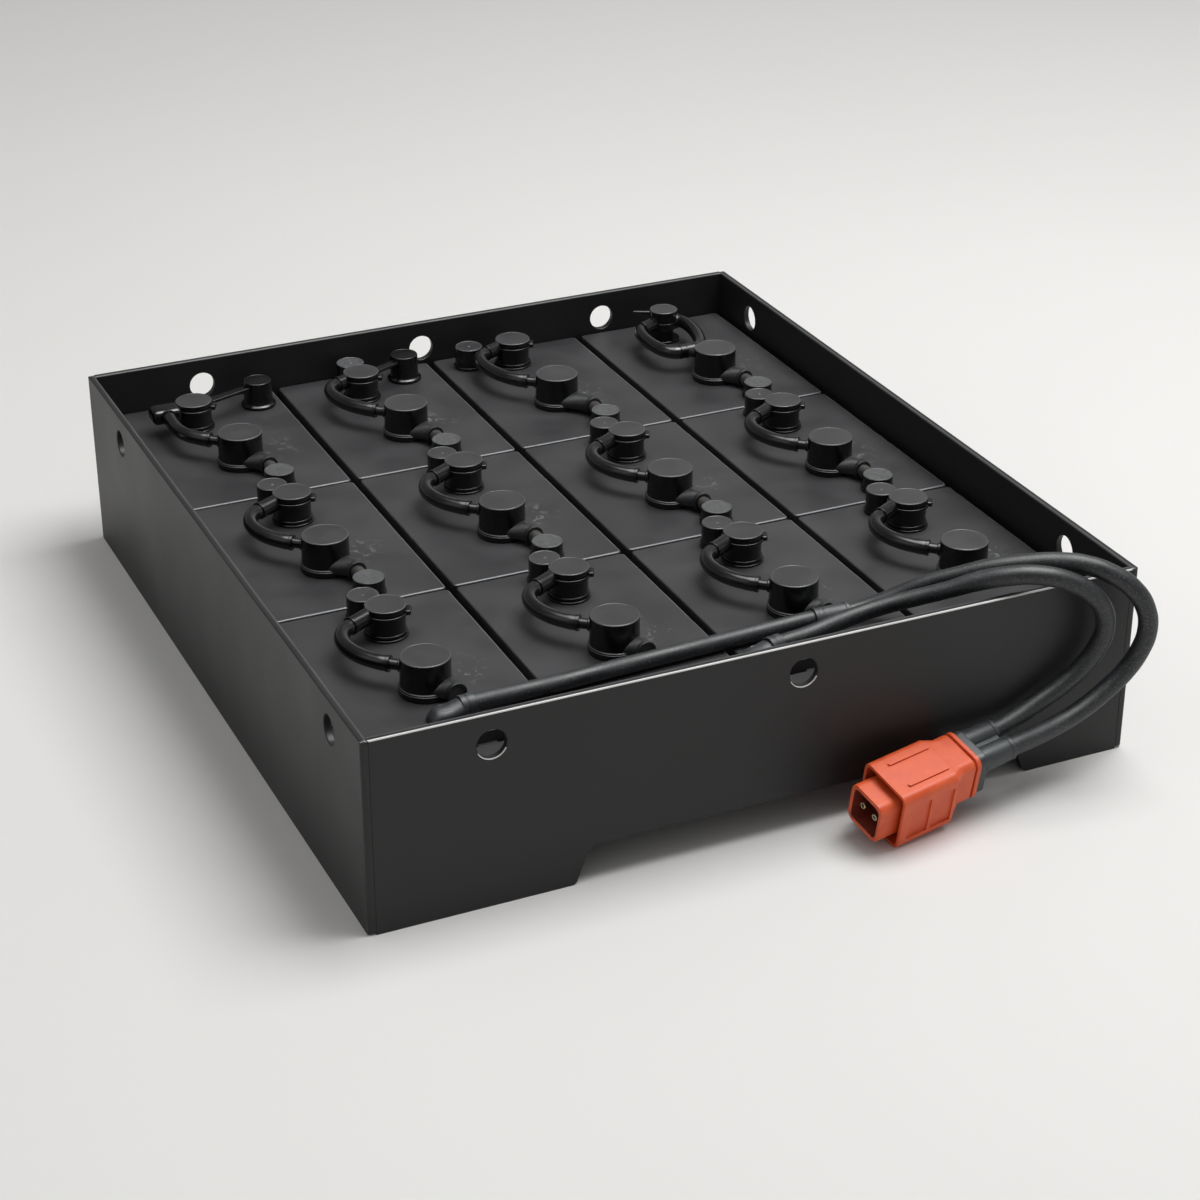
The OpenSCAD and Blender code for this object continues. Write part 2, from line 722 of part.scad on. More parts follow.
function bezier(a, b, c, d, t) =
    a * pow(1 - t, 3) + 3 * b * t * pow(1 - t, 2) + 3 * c * t * t * (1 - t) + d * pow(t, 3);
function lifted(p, z) = [p.x, p.y, z];
function hose_line(start, dir1, pull1, stop, dir2, pull2, steps = 11) = [
    for (k = [0 : steps])
        lifted(bezier(start, start + pull1 * dir1, stop + pull2 * dir2, stop, k / steps), hose_z)
];

module hose(i) {
    if (i == tall_vent) {
        left_end = tee_at - tee_half * turned(tee_turn);
        right_end = tee_at + tee_half * turned(tee_turn);
        start = from_rear(right_sleeve[0]);
        stop = from_rear(right_sleeve[1]);
        away = turned(tee_turn);
        tube_on_cell(i, hose_line(sleeve_stop(i), sleeve_dir(i), tall_pull, left_end, -away, tee_pulls[0]));
        tube_on_cell(i, hose_line(stop, unit(stop - start), tall_pull, right_end, away, tee_pulls[1]));
    } else {
        tube_on_cell(i, hose_line(
            sleeve_stop(i), sleeve_dir(i), sleeve_pull, spigot_end(i), turned(spigot_turn), spigot_pull
        ));
    }
}

module tube_on_cell(i, line) {
    on_cell(i) tube(line, hose_r, 10);
}

module hoses_column(c) {
    color("#232526") for (r = [0 : rows - 1]) hose(r * columns + c);
}

function tangents(p) = [
    for (k = [0 : len(p) - 1])
        unit(p[min(k + 1, len(p) - 1)] - p[max(k - 1, 0)])
];
function normals(t) = [
    for (k = 0, n = unit(cross(t[0], [0, 0, 1])); k < len(t);
         k = k + 1, n = k < len(t) ? unit(n - (n * t[k]) * t[k]) : n) n
];

// A round tube along a line of points: one ring at each point, closed by a flat cap at each end
module tube(line, r, sides) {
    t = tangents(line);
    n = normals(t);
    rings = len(line);
    points = [
        for (k = [0 : rings - 1], s = [0 : sides - 1])
            line[k] + r * (cos(360 * s / sides) * n[k] + sin(360 * s / sides) * cross(t[k], n[k]))
    ];
    sides_of = [
        for (k = [0 : rings - 2], s = [0 : sides - 1])
            [k * sides + s, k * sides + (s + 1) % sides, (k + 1) * sides + (s + 1) % sides, (k + 1) * sides + s]
    ];
    start_cap = [for (s = [sides - 1 : -1 : 0]) s];
    end_cap = [for (s = [0 : sides - 1]) (rings - 1) * sides + s];
    polyhedron(points, concat(sides_of, [start_cap, end_cap]));
}

module lead_pole() {
    translate([0, 0, -pole_depth]) cylinder(h = pole_depth + pole_h, r = pole_r);
    translate([0, 0, pole_h - cut]) cylinder(h = bolt_h + cut, r = bolt_r, $fn = 6);
}

module lead_poles() {
    color("#7d7f82") for (i = [0 : columns * rows - 1], p = poles_of(i)) on_cell(i, p) lead_pole();
}

module pole_socket() {
    translate([0, 0, -cut]) cylinder(h = pole_h + bolt_h + pole_fit + cut, r = pole_r + pole_fit);
}

module rear_pole_caps() {
    color("#1b1c1d") for (c = rear_caps) on_cell(c[0], c[1]) difference() {
        turned_cap(cap_r, rear_cap_h, skirt_r, skirt_h, 1);
        pole_socket();
    }
}

module front_pole_caps() {
    color("#5a5c5c") for (c = front_caps) {
        towards = collar_spot(c[0]) - c[1];
        on_cell(c[0], c[1]) difference() {
            union() {
                turned_cap(cap_r, front_cap_h, skirt_r, skirt_h, 1);
                translate([0, 0, collar_r]) rotate([0, 0, heading(towards)]) rotate([0, 90, 0])
                    cylinder(h = norm(towards) - collar_l + 4 - cable_fit, r = stub_r);
            }
            pole_socket();
        }
    }
}

// The bar from a cell's front pole cap to the rear pole cap of the cell before it
module cell_links() {
    apart = front_pole_at + [0, cell_d + row_gap] - from_rear(rear_pole_at);
    color("#232526") for (c = front_caps) on_cell(c[0] - columns, from_rear(rear_pole_at)) difference() {
        translate([0, 0, link_r + 1.5]) rotate([0, 0, heading(apart)]) rotate([0, 90, 0])
            cylinder(h = norm(apart), r = link_r);
        for (p = [[0, 0], apart]) translate([p.x, p.y, -cut]) {
            cylinder(h = skirt_h + cut + 0.1, r = skirt_r + 0.1);
            cylinder(h = rear_cap_h, r = cap_r + 0.1);
        }
    }
}

module side_caps() {
    color("#3c3e3f") for (k = [0, 1]) {
        i = side_cells[k];
        spot = from_rear(side_cap_at[k]);
        away = vent_spot(i) - spot;
        on_cell(i, spot) difference() {
            union() {
                turned_cap(cap_r, side_cap_h, side_base_r, skirt_h, 1);
                translate([0, 0, vent_h - 8]) rotate([0, 0, heading(away)])
                    translate([0, -strap_w / 2, 0])
                        cube([norm(away) - vent_collar_r - seat_fit, strap_w, strap_t]);
            }
            pole_socket();
        }
    }
}

module outer_cable() {
    color("#2f3234") at_corner() tube(outer_route, cable_r, cable_sides);
}

module inner_cable() {
    color("#2f3234") at_corner() tube(inner_route, cable_r, cable_sides);
}

// Lays children along the line from one route point to the next, their +Z along the cable
module along(a, b) {
    way = b - a;
    at_corner() translate(a) rotate([0, acos(way.z / norm(way)), atan2(way.y, way.x)]) children();
}

module lug_boot(spot, a, b) {
    difference() {
        union() {
            hull() {
                on_cell(spot[0], spot[1]) cylinder(h = lug_h, r = lug_r, $fn = 32);
                along(a, b) translate([0, 0, -2]) cylinder(h = 4, r = lug_socket_r - 0.5, $fn = 32);
            }
            along(a, b) cylinder(h = lug_socket_l, r = lug_socket_r);
        }
        along(a, b) cylinder(h = lug_socket_l + cut, r = cable_r + cable_fit);
        on_cell(spot[0], spot[1]) pole_socket();
    }
}

module cable_lugs() {
    color("#4b4e50") {
        lug_boot(lug_spots[0], outer_route[0], outer_route[1]);
        lug_boot(lug_spots[1], inner_route[0], inner_route[1]);
    }
}

// A crimped sleeve round the outer cable, with a raised ring at each end
module cable_coupling() {
    a = outer_route[coupling_start];
    b = outer_route[coupling_start + 1];
    color("#4b4e50") along(a, b) translate([0, 0, norm(b - a) / 2 - coupling_l / 2]) rotate_extrude() {
        translate([cable_r + cable_fit, 0]) square([coupling_r - 0.5 - cable_r - cable_fit, coupling_l]);
        for (z = [0, coupling_l - 3]) translate([cable_r + cable_fit, z])
            square([coupling_r - cable_r - cable_fit, 3]);
    }
}

// The lowest corner of the shell's mouth touches the ground
shell_drop = (shell_w / 2 - shell_r) * sin(-plug_turn[2]) + (shell_h / 2 - shell_r) * cos(plug_turn[2]) + shell_r;
plug_z = shell_drop * cos(plug_turn[1]);

module plug_frame() {
    at_corner() translate([plug_at.x, plug_at.y, plug_z])
        rotate([0, 0, plug_turn[0]]) rotate([0, plug_turn[1], 0]) rotate([plug_turn[2], 0, 0]) children();
}

// A bar of a given cross-section from one place to another along the plug's axis
module plug_bar(from, to) {
    translate([from, 0, 0]) rotate([90, 0, 90]) linear_extrude(to - from) children();
}

module plug_shell() {
    cavity = shell_l - shell_back;
    inner_r = max(shell_r - shell_wall, 1);
    color("#d2603f") plug_frame() difference() {
        union() {
            plug_bar(-shell_l, 0) centred_rect(shell_w, shell_h, shell_r);
            translate([0, 0, rear_rise]) plug_bar(-shell_l - rear_l, -shell_l + cut)
                centred_rect(rear_w, rear_w, shell_r);
            for (y = [-1, 1])
                translate([rib_margins[1] - shell_l, y * shell_w / 4 - rib_size.x / 2, shell_h / 2 - cut])
                    cube([shell_l - rib_margins[0] - rib_margins[1], rib_size.x, cut + rib_size.y]);
        }
        plug_bar(-cavity, cut) centred_rect(shell_w - 2 * shell_wall, shell_h - 2 * shell_wall, inner_r);
        for (side = [0, 1], x = panels_at) mirror([0, side, 0])
            translate([-x - panel_size.x, shell_w / 2 - panel_size.z, -panel_size.y / 2 - panel_drop])
                cube([panel_size.x, panel_size.z + cut, panel_size.y]);
    }
}

module plug_nose() {
    cavity = shell_l - shell_back;
    base_r = max(shell_r - shell_wall, 1) - seat_fit;
    inside_w = shell_w - 2 * shell_wall - 2 * seat_fit;
    inside_h = shell_h - 2 * shell_wall - 2 * seat_fit;
    color("#d2603f") plug_frame() difference() {
        union() {
            plug_bar(-cavity, -shroud_depth) centred_rect(inside_w, inside_h, base_r);
            plug_bar(-shroud_depth - cut, nose_reach) centred_rect(nose_w, nose_w, nose_r);
        }
        plug_bar(nose_reach - nose_depth, nose_reach + cut)
            centred_rect(nose_w - 2 * nose_wall, nose_w - 2 * nose_wall, nose_r - nose_wall + 1);
        for (y = [-1, 1]) translate([-cavity - cut, y * contact_pitch / 2, 0]) rotate([0, 90, 0])
            cylinder(h = cavity + nose_reach, d = contact_d + 0.2);
    }
}

module plug_contacts() {
    cavity = shell_l - shell_back;
    tip = nose_reach - nose_depth + contact_reach;
    color("#b8a878") plug_frame() for (y = [-1, 1]) translate([-cavity, y * contact_pitch / 2, 0]) rotate([0, 90, 0])
        difference() {
            cylinder(h = cavity + tip, d = contact_d);
            translate([0, 0, cavity + tip - 8]) cylinder(h = 8 + cut, d = contact_d / 2);
        }
}

module plug_ring() {
    start = -shell_l - rear_l;
    color("#d2603f") plug_frame() translate([0, 0, rear_rise]) {
        plug_bar(start - 2, start) centred_rect(rear_w - 4, rear_w - 4, shell_r - 2);
        plug_bar(start - 2 - ring_t, start - 2) centred_rect(ring_w, ring_w, shell_r + 1);
    }
}

module plug_boot() {
    start = -shell_l - rear_l - 2 - ring_t;
    mouth = start - boot_plate_t - boot_l;
    color("#3f4244") plug_frame() difference() {
        union() {
            translate([0, 0, rear_rise]) plug_bar(start - boot_plate_t, start)
                centred_rect(ring_w - 2, ring_w - 3, shell_r + 1);
            for (y = [-1, 1]) translate([mouth, y * boot_pitch / 2, boot_rise]) rotate([0, 90, 0])
                cylinder(h = boot_l + cut, r = boot_r);
            translate([mouth + 3, -2, boot_rise - 5]) cube([boot_l - 3 + cut, 4, 10]);
        }
        for (y = [-1, 1]) translate([mouth - cut, y * boot_pitch / 2, boot_rise]) rotate([0, 90, 0])
            cylinder(h = boot_depth + cut, r = cable_r + cable_fit);
    }
}

tray_front_wall();
tray_back_wall();
tray_left_wall();
tray_right_wall();
tray_floor();
packing_boards();
for (i = [0 : columns * rows - 1]) {
    cell(i);
    float_valve(i);
    vent_plug(i);
}
for (c = [0 : columns - 1]) {
    hoses_column(c);
}
lead_poles();
rear_pole_caps();
front_pole_caps();
cell_links();
side_caps();
outer_cable();
inner_cable();
cable_lugs();
cable_coupling();
plug_shell();
plug_nose();
plug_contacts();
plug_ring();
plug_boot();
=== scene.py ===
"""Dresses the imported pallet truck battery: tray, cells, caps, hoses, charging lead and studio."""

import logging
import math
from collections.abc import Sequence
from dataclasses import dataclass
from enum import Enum, IntEnum

import bmesh
import bpy
from mathutils import Matrix, Vector


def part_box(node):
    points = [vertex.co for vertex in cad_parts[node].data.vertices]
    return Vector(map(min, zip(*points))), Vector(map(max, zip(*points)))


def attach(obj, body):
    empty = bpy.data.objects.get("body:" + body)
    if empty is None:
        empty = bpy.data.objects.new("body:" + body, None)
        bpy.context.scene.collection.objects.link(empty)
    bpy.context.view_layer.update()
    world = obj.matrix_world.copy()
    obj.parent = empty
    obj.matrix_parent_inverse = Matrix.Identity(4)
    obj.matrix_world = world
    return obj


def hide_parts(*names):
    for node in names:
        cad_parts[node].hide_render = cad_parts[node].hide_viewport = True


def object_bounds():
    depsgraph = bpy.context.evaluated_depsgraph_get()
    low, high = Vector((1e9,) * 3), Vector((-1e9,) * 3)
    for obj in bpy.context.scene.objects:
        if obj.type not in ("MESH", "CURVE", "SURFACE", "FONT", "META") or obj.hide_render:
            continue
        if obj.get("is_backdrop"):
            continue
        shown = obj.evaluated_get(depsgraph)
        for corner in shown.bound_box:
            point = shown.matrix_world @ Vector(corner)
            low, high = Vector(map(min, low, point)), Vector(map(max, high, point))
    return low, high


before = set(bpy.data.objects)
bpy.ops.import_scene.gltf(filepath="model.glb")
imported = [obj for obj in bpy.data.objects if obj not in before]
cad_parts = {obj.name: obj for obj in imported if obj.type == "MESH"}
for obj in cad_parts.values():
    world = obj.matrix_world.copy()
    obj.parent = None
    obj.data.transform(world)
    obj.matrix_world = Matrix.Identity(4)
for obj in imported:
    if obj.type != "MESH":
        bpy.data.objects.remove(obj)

MM = 0.001
COLUMNS = 4
ROWS = 3
CELLS = COLUMNS * ROWS

Colour = tuple[float, float, float, float]
Corner = tuple[float, float, float]
Spot = tuple[float, float]
Shape = bmesh.types.BMesh
Piece = bpy.types.Object
Material = bpy.types.Material
Tree = bpy.types.NodeTree
Socket = bpy.types.NodeSocket

# Turns that lay a shape's Z axis along X, and that raise a flat outline's Y axis upright
Z_TO_X = Matrix.Rotation(math.pi / 2, 4, "Y")
Y_TO_Z = Matrix.Rotation(math.pi / 2, 4, "X")
# Radius at which a ring is made before it is squashed to its oval
UNIT_RING = 10.0
# Cells that differ from the rest, counted from 0: the elbow's, and the one whose valve is shifted
ELBOW_CELL = 8
SHIFTED_CELL = 10
LAST_CELL = CELLS - 1

log = logging.getLogger("battery")


class Cut(Enum):
    """What is kept of a body when tools meet it."""

    REST = "DIFFERENCE"
    SHARED = "INTERSECT"


class Part(Enum):
    """What a rounding works on."""

    CORNER = "VERTICES"
    EDGE = "EDGES"


class WallSlot(IntEnum):
    """Finishes of a tray wall: its coat, and the painted highlight lines along the rim's outer and
    inner edge.
    """

    COAT = 0
    OUTER = 1
    INNER = 2


class LidSlot(IntEnum):
    """Finishes of a cell case: its lid, and the painted highlight along the lid's front and right
    edges.
    """

    LID = 0
    EDGE_HIGHLIGHT = 1


class ValveSlot(IntEnum):
    """Finishes of a float valve. The top is painted lighter as lit from above, and the rim and the
    flange's lip take a painted highlight.
    """

    CAP = 0
    EAR = 1
    BARREL = 2
    TOP = 3
    RIM = 4


class VentSlot(IntEnum):
    """Finishes of a vent plug. The top is painted lighter as lit from above, and the rim takes a
    painted highlight.
    """

    CAP = 0
    TOP = 1
    RIM = 2


class RearSlot(IntEnum):
    """Finishes of the rear pole caps. The top is painted lighter as lit from above, and the rim
    takes a painted highlight.
    """

    CAP = 0
    PALE = 1
    TOP = 2
    RIM = 3


class FrontSlot(IntEnum):
    """Finishes of the front pole caps."""

    CAP = 0
    PALE = 1
    BARREL = 2


class NoseSlot(IntEnum):
    """Finishes of the plug's nose: its shell, and the socket's inside, painted darker as shade."""

    SHELL = 0
    SOCKET = 1


def linear(code: str) -> Colour:
    """Turns an sRGB hex colour into linear RGBA.

    Args:
        code: The colour as "#rrggbb".

    Returns:
        The colour in Blender's linear space, opaque.
    """
    parts = [int(code[k : k + 2], 16) / 255 for k in (1, 3, 5)]
    red, green, blue = (c / 12.92 if c <= 0.04045 else ((c + 0.055) / 1.055) ** 2.4 for c in parts)
    return (red, green, blue, 1.0)


def per_metre(size_mm: float) -> float:
    """Returns the texture scale at which a pattern repeats about once every size_mm."""
    return 1 / (size_mm * MM)


def add_node(
    tree: Tree, kind: str, inputs: dict | None = None, **settings: object
) -> bpy.types.Node:
    """Adds a node, sets its settings and fills its inputs.

    Args:
        tree: The node tree to add to.
        kind: The node's type name.
        inputs: Input name or number to a value, or to the socket that it is linked from.
        **settings: The node's own properties.

    Returns:
        The new node.
    """
    node = tree.nodes.new(kind)
    for name, value in settings.items():
        setattr(node, name, value)
    for key, value in (inputs or {}).items():
        if isinstance(value, Socket):
            tree.links.new(value, node.inputs[key])
        else:
            node.inputs[key].default_value = value
    return node


@dataclass(frozen=True)
class Finish:
    """A surface of one stuff: two shades that mottle into each other, a gloss and a fine relief.

    Attributes:
        name: The material's name.
        shade: Its main colour, sRGB hex.
        mottle: The colour that it drifts towards, sRGB hex.
        mottle_mm: Size of the drifts.
        roughness: Lowest and highest roughness.
        grain_mm: Size of the relief's bumps.
        grain_height_mm: Height of the relief.
        ior: Index of refraction.
        metallic: 1 for a metal.
    """

    name: str
    shade: str
    mottle: str
    mottle_mm: float
    roughness: Spot
    grain_mm: float
    grain_height_mm: float
    ior: float = 1.49
    metallic: float = 0.0

    def material(self) -> Material:
        """Builds the material.

        Returns:
            A material with one Principled shader, read from Object coordinates.
        """
        made = bpy.data.materials.new(self.name)
        made.use_nodes = True
        tree = made.node_tree
        tree.nodes.clear()
        coords = add_node(tree, "ShaderNodeTexCoord").outputs["Object"]
        drift = add_node(
            tree,
            "ShaderNodeTexNoise",
            {"Vector": coords, "Scale": per_metre(self.mottle_mm), "Detail": 4.0},
        ).outputs[0]
        shader = add_node(
            tree,
            "ShaderNodeBsdfPrincipled",
            {
                "Base Color": self.colour(tree, coords, drift),
                "Roughness": self.gloss(tree, drift),
                "Normal": self.relief(tree, coords),
                "Metallic": self.metallic,
                "IOR": self.ior,
            },
        )
        add_node(tree, "ShaderNodeOutputMaterial", {"Surface": shader.outputs[0]})
        return made

    def colour(self, tree: Tree, coords: Socket, drift: Socket) -> Socket:
        """Mixes the two shades by the drift.

        Args:
            tree: The material's tree.
            coords: Object coordinates, in metres.
            drift: The slow noise.

        Returns:
            The colour's socket.
        """
        share = add_node(
            tree, "ShaderNodeMapRange", {"Value": drift, "From Min": 0.35, "From Max": 0.7}
        ).outputs[0]
        return add_node(
            tree,
            "ShaderNodeMix",
            {0: share, 6: linear(self.shade), 7: linear(self.mottle)},
            data_type="RGBA",
        ).outputs[2]

    def gloss(self, tree: Tree, drift: Socket) -> Socket:
        """Spreads the roughness by the drift, and returns its socket."""
        low, high = self.roughness
        return add_node(
            tree,
            "ShaderNodeMapRange",
            {"Value": drift, "From Min": 0.3, "From Max": 0.7, "To Min": low, "To Max": high},
        ).outputs[0]

    def relief(self, tree: Tree, coords: Socket) -> Socket:
        """Raises the fine grain, and returns the normal's socket."""
        grain = add_node(
            tree,
            "ShaderNodeTexNoise",
            {"Vector": coords, "Scale": per_metre(self.grain_mm), "Detail": 2.0},
        ).outputs[0]
        height = self.grain_height_mm * MM
        return add_node(
            tree, "ShaderNodeBump", {"Height": grain, "Distance": height, "Strength": 1.0}
        ).outputs[0]


@dataclass(frozen=True)
class LidPlastic(Finish):
    """Matt black polypropylene lid, with dried glue and rub marks beside each valve.

    Attributes:
        marks: Colour of the dried marks, sRGB hex.
        pitch: Distance from cell to cell across and along the tray, in millimetres.
        corner: Place of the first cell's front left corner, in millimetres.
        spot: Middle of the marks on each cell, in millimetres from that corner.
        spread: How far the marks reach from there, in millimetres.
        core: Share of that reach at which they begin to fade.
        wisp_mm: Size of the wisps that they break up into.
    """

    marks: str = "#8b8d8c"
    pitch: Spot = (158.5, 228.5)
    corner: Spot = (-310.0, -323.5)
    spot: Spot = (109.0, 95.0)
    spread: float = 30.0
    core: float = 0.3
    wisp_mm: float = 11.0

    def colour(self, tree: Tree, coords: Socket, drift: Socket) -> Socket:
        """Lays the marks over the lid's own colour.

        Args:
            tree: The material's tree.
            coords: Object coordinates, in metres.
            drift: The slow noise.

        Returns:
            The colour's socket.
        """
        plain = super().colour(tree, coords, drift)
        parts = add_node(tree, "ShaderNodeSeparateXYZ", {0: coords})
        local = []
        for axis in (0, 1):
            moved = add_node(
                tree,
                "ShaderNodeMath",
                {0: parts.outputs[axis], 1: -self.corner[axis] * MM},
                operation="ADD",
            ).outputs[0]
            within = add_node(
                tree,
                "ShaderNodeMath",
                {0: moved, 1: self.pitch[axis] * MM},
                operation="FLOORED_MODULO",
            ).outputs[0]
            local.append(within)
        place = add_node(tree, "ShaderNodeCombineXYZ", {0: local[0], 1: local[1]}).outputs[0]
        away = add_node(
            tree,
            "ShaderNodeVectorMath",
            {0: place, 1: (self.spot[0] * MM, self.spot[1] * MM, 0.0)},
            operation="DISTANCE",
        ).outputs["Value"]
        near = add_node(
            tree,
            "ShaderNodeMapRange",
            {
                "Value": away,
                "From Min": self.core * self.spread * MM,
                "From Max": self.spread * MM,
                "To Min": 1.0,
                "To Max": 0.0,
            },
        ).outputs[0]
        wisps = add_node(
            tree,
            "ShaderNodeTexNoise",
            {
                "Vector": coords,
                "Scale": per_metre(self.wisp_mm),
                "Detail": 7.0,
                "Roughness": 0.65,
                "Distortion": 1.2,
            },
        ).outputs[0]
        thin = add_node(
            tree, "ShaderNodeMapRange", {"Value": wisps, "From Min": 0.55, "From Max": 0.74}
        ).outputs[0]
        share = add_node(
            tree, "ShaderNodeMath", {0: near, 1: thin}, operation="MULTIPLY"
        ).outputs[0]
        return add_node(
            tree, "ShaderNodeMix", {0: share, 6: plain, 7: linear(self.marks)}, data_type="RGBA"
        ).outputs[2]


@dataclass(frozen=True)
class SpeckledRubber(Finish):
    """Rubber cable sheath with pale specks, painted as a fine speckled sheen on its dry skin.

    Attributes:
        speck: Colour of the specks, sRGB hex.
        speck_mm: Size of the specks.
        speck_share: How much of their colour the densest of them take.
    """

    speck: str = "#5d6164"
    speck_mm: float = 1.6
    speck_share: float = 0.55

    def colour(self, tree: Tree, coords: Socket, drift: Socket) -> Socket:
        """Scatters the specks of painted sheen over the sheath, and returns the colour's socket."""
        plain = super().colour(tree, coords, drift)
        fine = add_node(
            tree,
            "ShaderNodeTexNoise",
            {"Vector": coords, "Scale": per_metre(self.speck_mm), "Detail": 3.0, "Roughness": 0.7},
        ).outputs[0]
        share = add_node(
            tree,
            "ShaderNodeMapRange",
            {"Value": fine, "From Min": 0.52, "From Max": 0.72, "To Max": self.speck_share},
        ).outputs[0]
        return add_node(
            tree, "ShaderNodeMix", {0: share, 6: plain, 7: linear(self.speck)}, data_type="RGBA"
        ).outputs[2]


# Satin polyester powder coat on steel: a faint orange peel and a soft, even sheen
POWDER_COAT = Finish(
    "satin black powder coat", "#141415", "#1a1a1a", 140.0, (0.42, 0.52), 2.4, 0.012, 1.44
)
# Painted highlight: the same coat along the sheared top edge of a sheet, painted near white as the
# bright line where it catches the light
RIM_HIGHLIGHT = Finish(
    "painted highlight on a powder coat edge", "#cfcfcd", "#bdbdbb", 40.0, (0.3, 0.4), 2.4, 0.012
)
# A dimmer painted highlight on the edges that face away: a grey line painted on the coat
RIM_DIM_HIGHLIGHT = Finish(
    "dim painted highlight on a powder coat edge", "#3c3d3e", "#48494a", 40.0, (0.3, 0.4), 2.4, 0.012
)
# Injection-moulded polypropylene, eroded mould: matt, greyer where it has been rubbed
LID = LidPlastic("matt black polypropylene", "#28282a", "#303032", 46.0, (0.42, 0.54), 0.9, 0.015)
# Painted highlight: the same stuff along the lids' front and right edges, painted paler as the line
# where they catch the light, with a narrow shine
LID_EDGE_HIGHLIGHT = Finish(
    "painted highlight on a polypropylene edge", "#5d5f61", "#6a6c6e", 30.0, (0.24, 0.34), 1.5, 0.01
)
# Injection-moulded polypropylene, polished mould: satin, near black
CAP = Finish("satin black polypropylene", "#09090a", "#0f1011", 18.0, (0.2, 0.28), 1.1, 0.004)
# Painted light: the flat tops of the same caps, painted greyer than the sides as lit from above,
# with a wide sheen
CAP_LIT_TOP = Finish("painted lit top of black polypropylene", "#2e2e30", "#363638", 18.0, (0.36, 0.46), 1.1, 0.01)
# Painted highlight: the rims of those tops, painted as a thin bright line; the valves' flange lip
# takes it too
CAP_RIM_HIGHLIGHT = Finish("painted highlight on a polypropylene rim", "#545557", "#606163", 12.0, (0.18, 0.26), 1.1, 0.004)
# The same stuff on the valve's ear, straight from the mould: dull and a little paler
EAR = Finish("moulded black polypropylene", "#1f2021", "#28292a", 14.0, (0.36, 0.48), 1.0, 0.015)
# Dust settled on the barrel between ear and cap: dull, warm grey
BARREL = Finish("dusty polypropylene", "#2f2e2c", "#3a3936", 6.0, (0.46, 0.6), 1.2, 0.03)
# The same stuff chalked by handling: grey and rough
PALE_CAP = Finish("chalked polypropylene", "#3f4041", "#555657", 4.0, (0.44, 0.6), 1.4, 0.04)
# Extruded rubber hose: smooth, with a wet gloss
HOSE = Finish("extruded black rubber", "#0f1011", "#151617", 22.0, (0.18, 0.26), 3.0, 0.003, 1.54)
# Rubber cable sheath: dull, with specks of painted sheen
SHEATH = SpeckledRubber(
    "speckled cable rubber", "#131517", "#1d2022", 30.0, (0.42, 0.56), 1.2, 0.06, 1.52
)
# Moulded rubber boots: dull dark grey
BOOT = Finish("moulded grey rubber", "#25292b", "#313538", 16.0, (0.42, 0.54), 1.0, 0.03, 1.52)
# Glass-filled nylon, orange: satin with faint flow marks
ORANGE = Finish(
    "orange moulded nylon", "#ca4d24", "#d45b31", 12.0, (0.4, 0.52), 0.9, 0.015, 1.46
)
# Cast lead: grey, soft and dull
LEAD = Finish("cast lead", "#7d7f82", "#8d8f92", 5.0, (0.4, 0.55), 1.5, 0.05, 1.5, 1.0)
# Painted shade: the same nylon inside the plug's deep socket, painted browner and darker for the
# shade down in it
ORANGE_SHADE = Finish(
    "shaded orange nylon", "#6b2413", "#7a2b18", 8.0, (0.5, 0.62), 0.9, 0.015, 1.53
)
# Turned brass with a tin wash: pale gold-grey
BRASS = Finish("tinned brass", "#b5a680", "#c9bd9b", 3.0, (0.24, 0.34), 0.8, 0.01, 1.5, 1.0)
# Polyethylene packing board, painted near black as the shade in the gap between the cells and the
# walls: dull
BOARD_IN_SHADE = Finish("polyethylene board painted near black as shade", "#101011", "#161617", 30.0, (0.5, 0.62), 2.0, 0.04)


def placed(shape: Shape, place: Matrix) -> Shape:
    """Moves a shape to a place, and returns it."""
    bmesh.ops.transform(shape, matrix=place, verts=shape.verts)
    return shape


def soften(shape: Shape, geom: Sequence, offset: float, part: Part, segments: int) -> None:
    """Rounds corners of an outline, or edges of a solid.

    Args:
        shape: The shape that they are on.
        geom: The corners or edges.
        offset: Size of the rounding.
        part: Which of the two they are.
        segments: Faces or edges across the rounding.
    """
    bmesh.ops.bevel(
        shape,
        geom=geom,
        offset=offset,
        affect=part.value,
        segments=segments,
        profile=0.5,
        material=-1,
    )


def merge(target: Shape, shape: Shape, place: Matrix | None = None, finish: int = 0) -> None:
    """Adds a finished closed shape to a piece, and frees it.

    Args:
        target: The piece.
        shape: The shape to add.
        place: Where it goes, in millimetres.
        finish: Number of the material slot that its faces take.
    """
    if place is not None:
        placed(shape, place)
    bmesh.ops.recalc_face_normals(shape, faces=shape.faces)
    for face in shape.faces:
        face.material_index = max(face.material_index, finish)
    mesh = bpy.data.meshes.new("shape")
    shape.to_mesh(mesh)
    shape.free()
    target.from_mesh(mesh)
    bpy.data.meshes.remove(mesh)


def alone(shape: Shape, place: Matrix | None = None) -> Shape:
    """Returns a piece's shape that holds this one shape, at its place."""
    piece = bmesh.new()
    merge(piece, shape, place)
    return piece


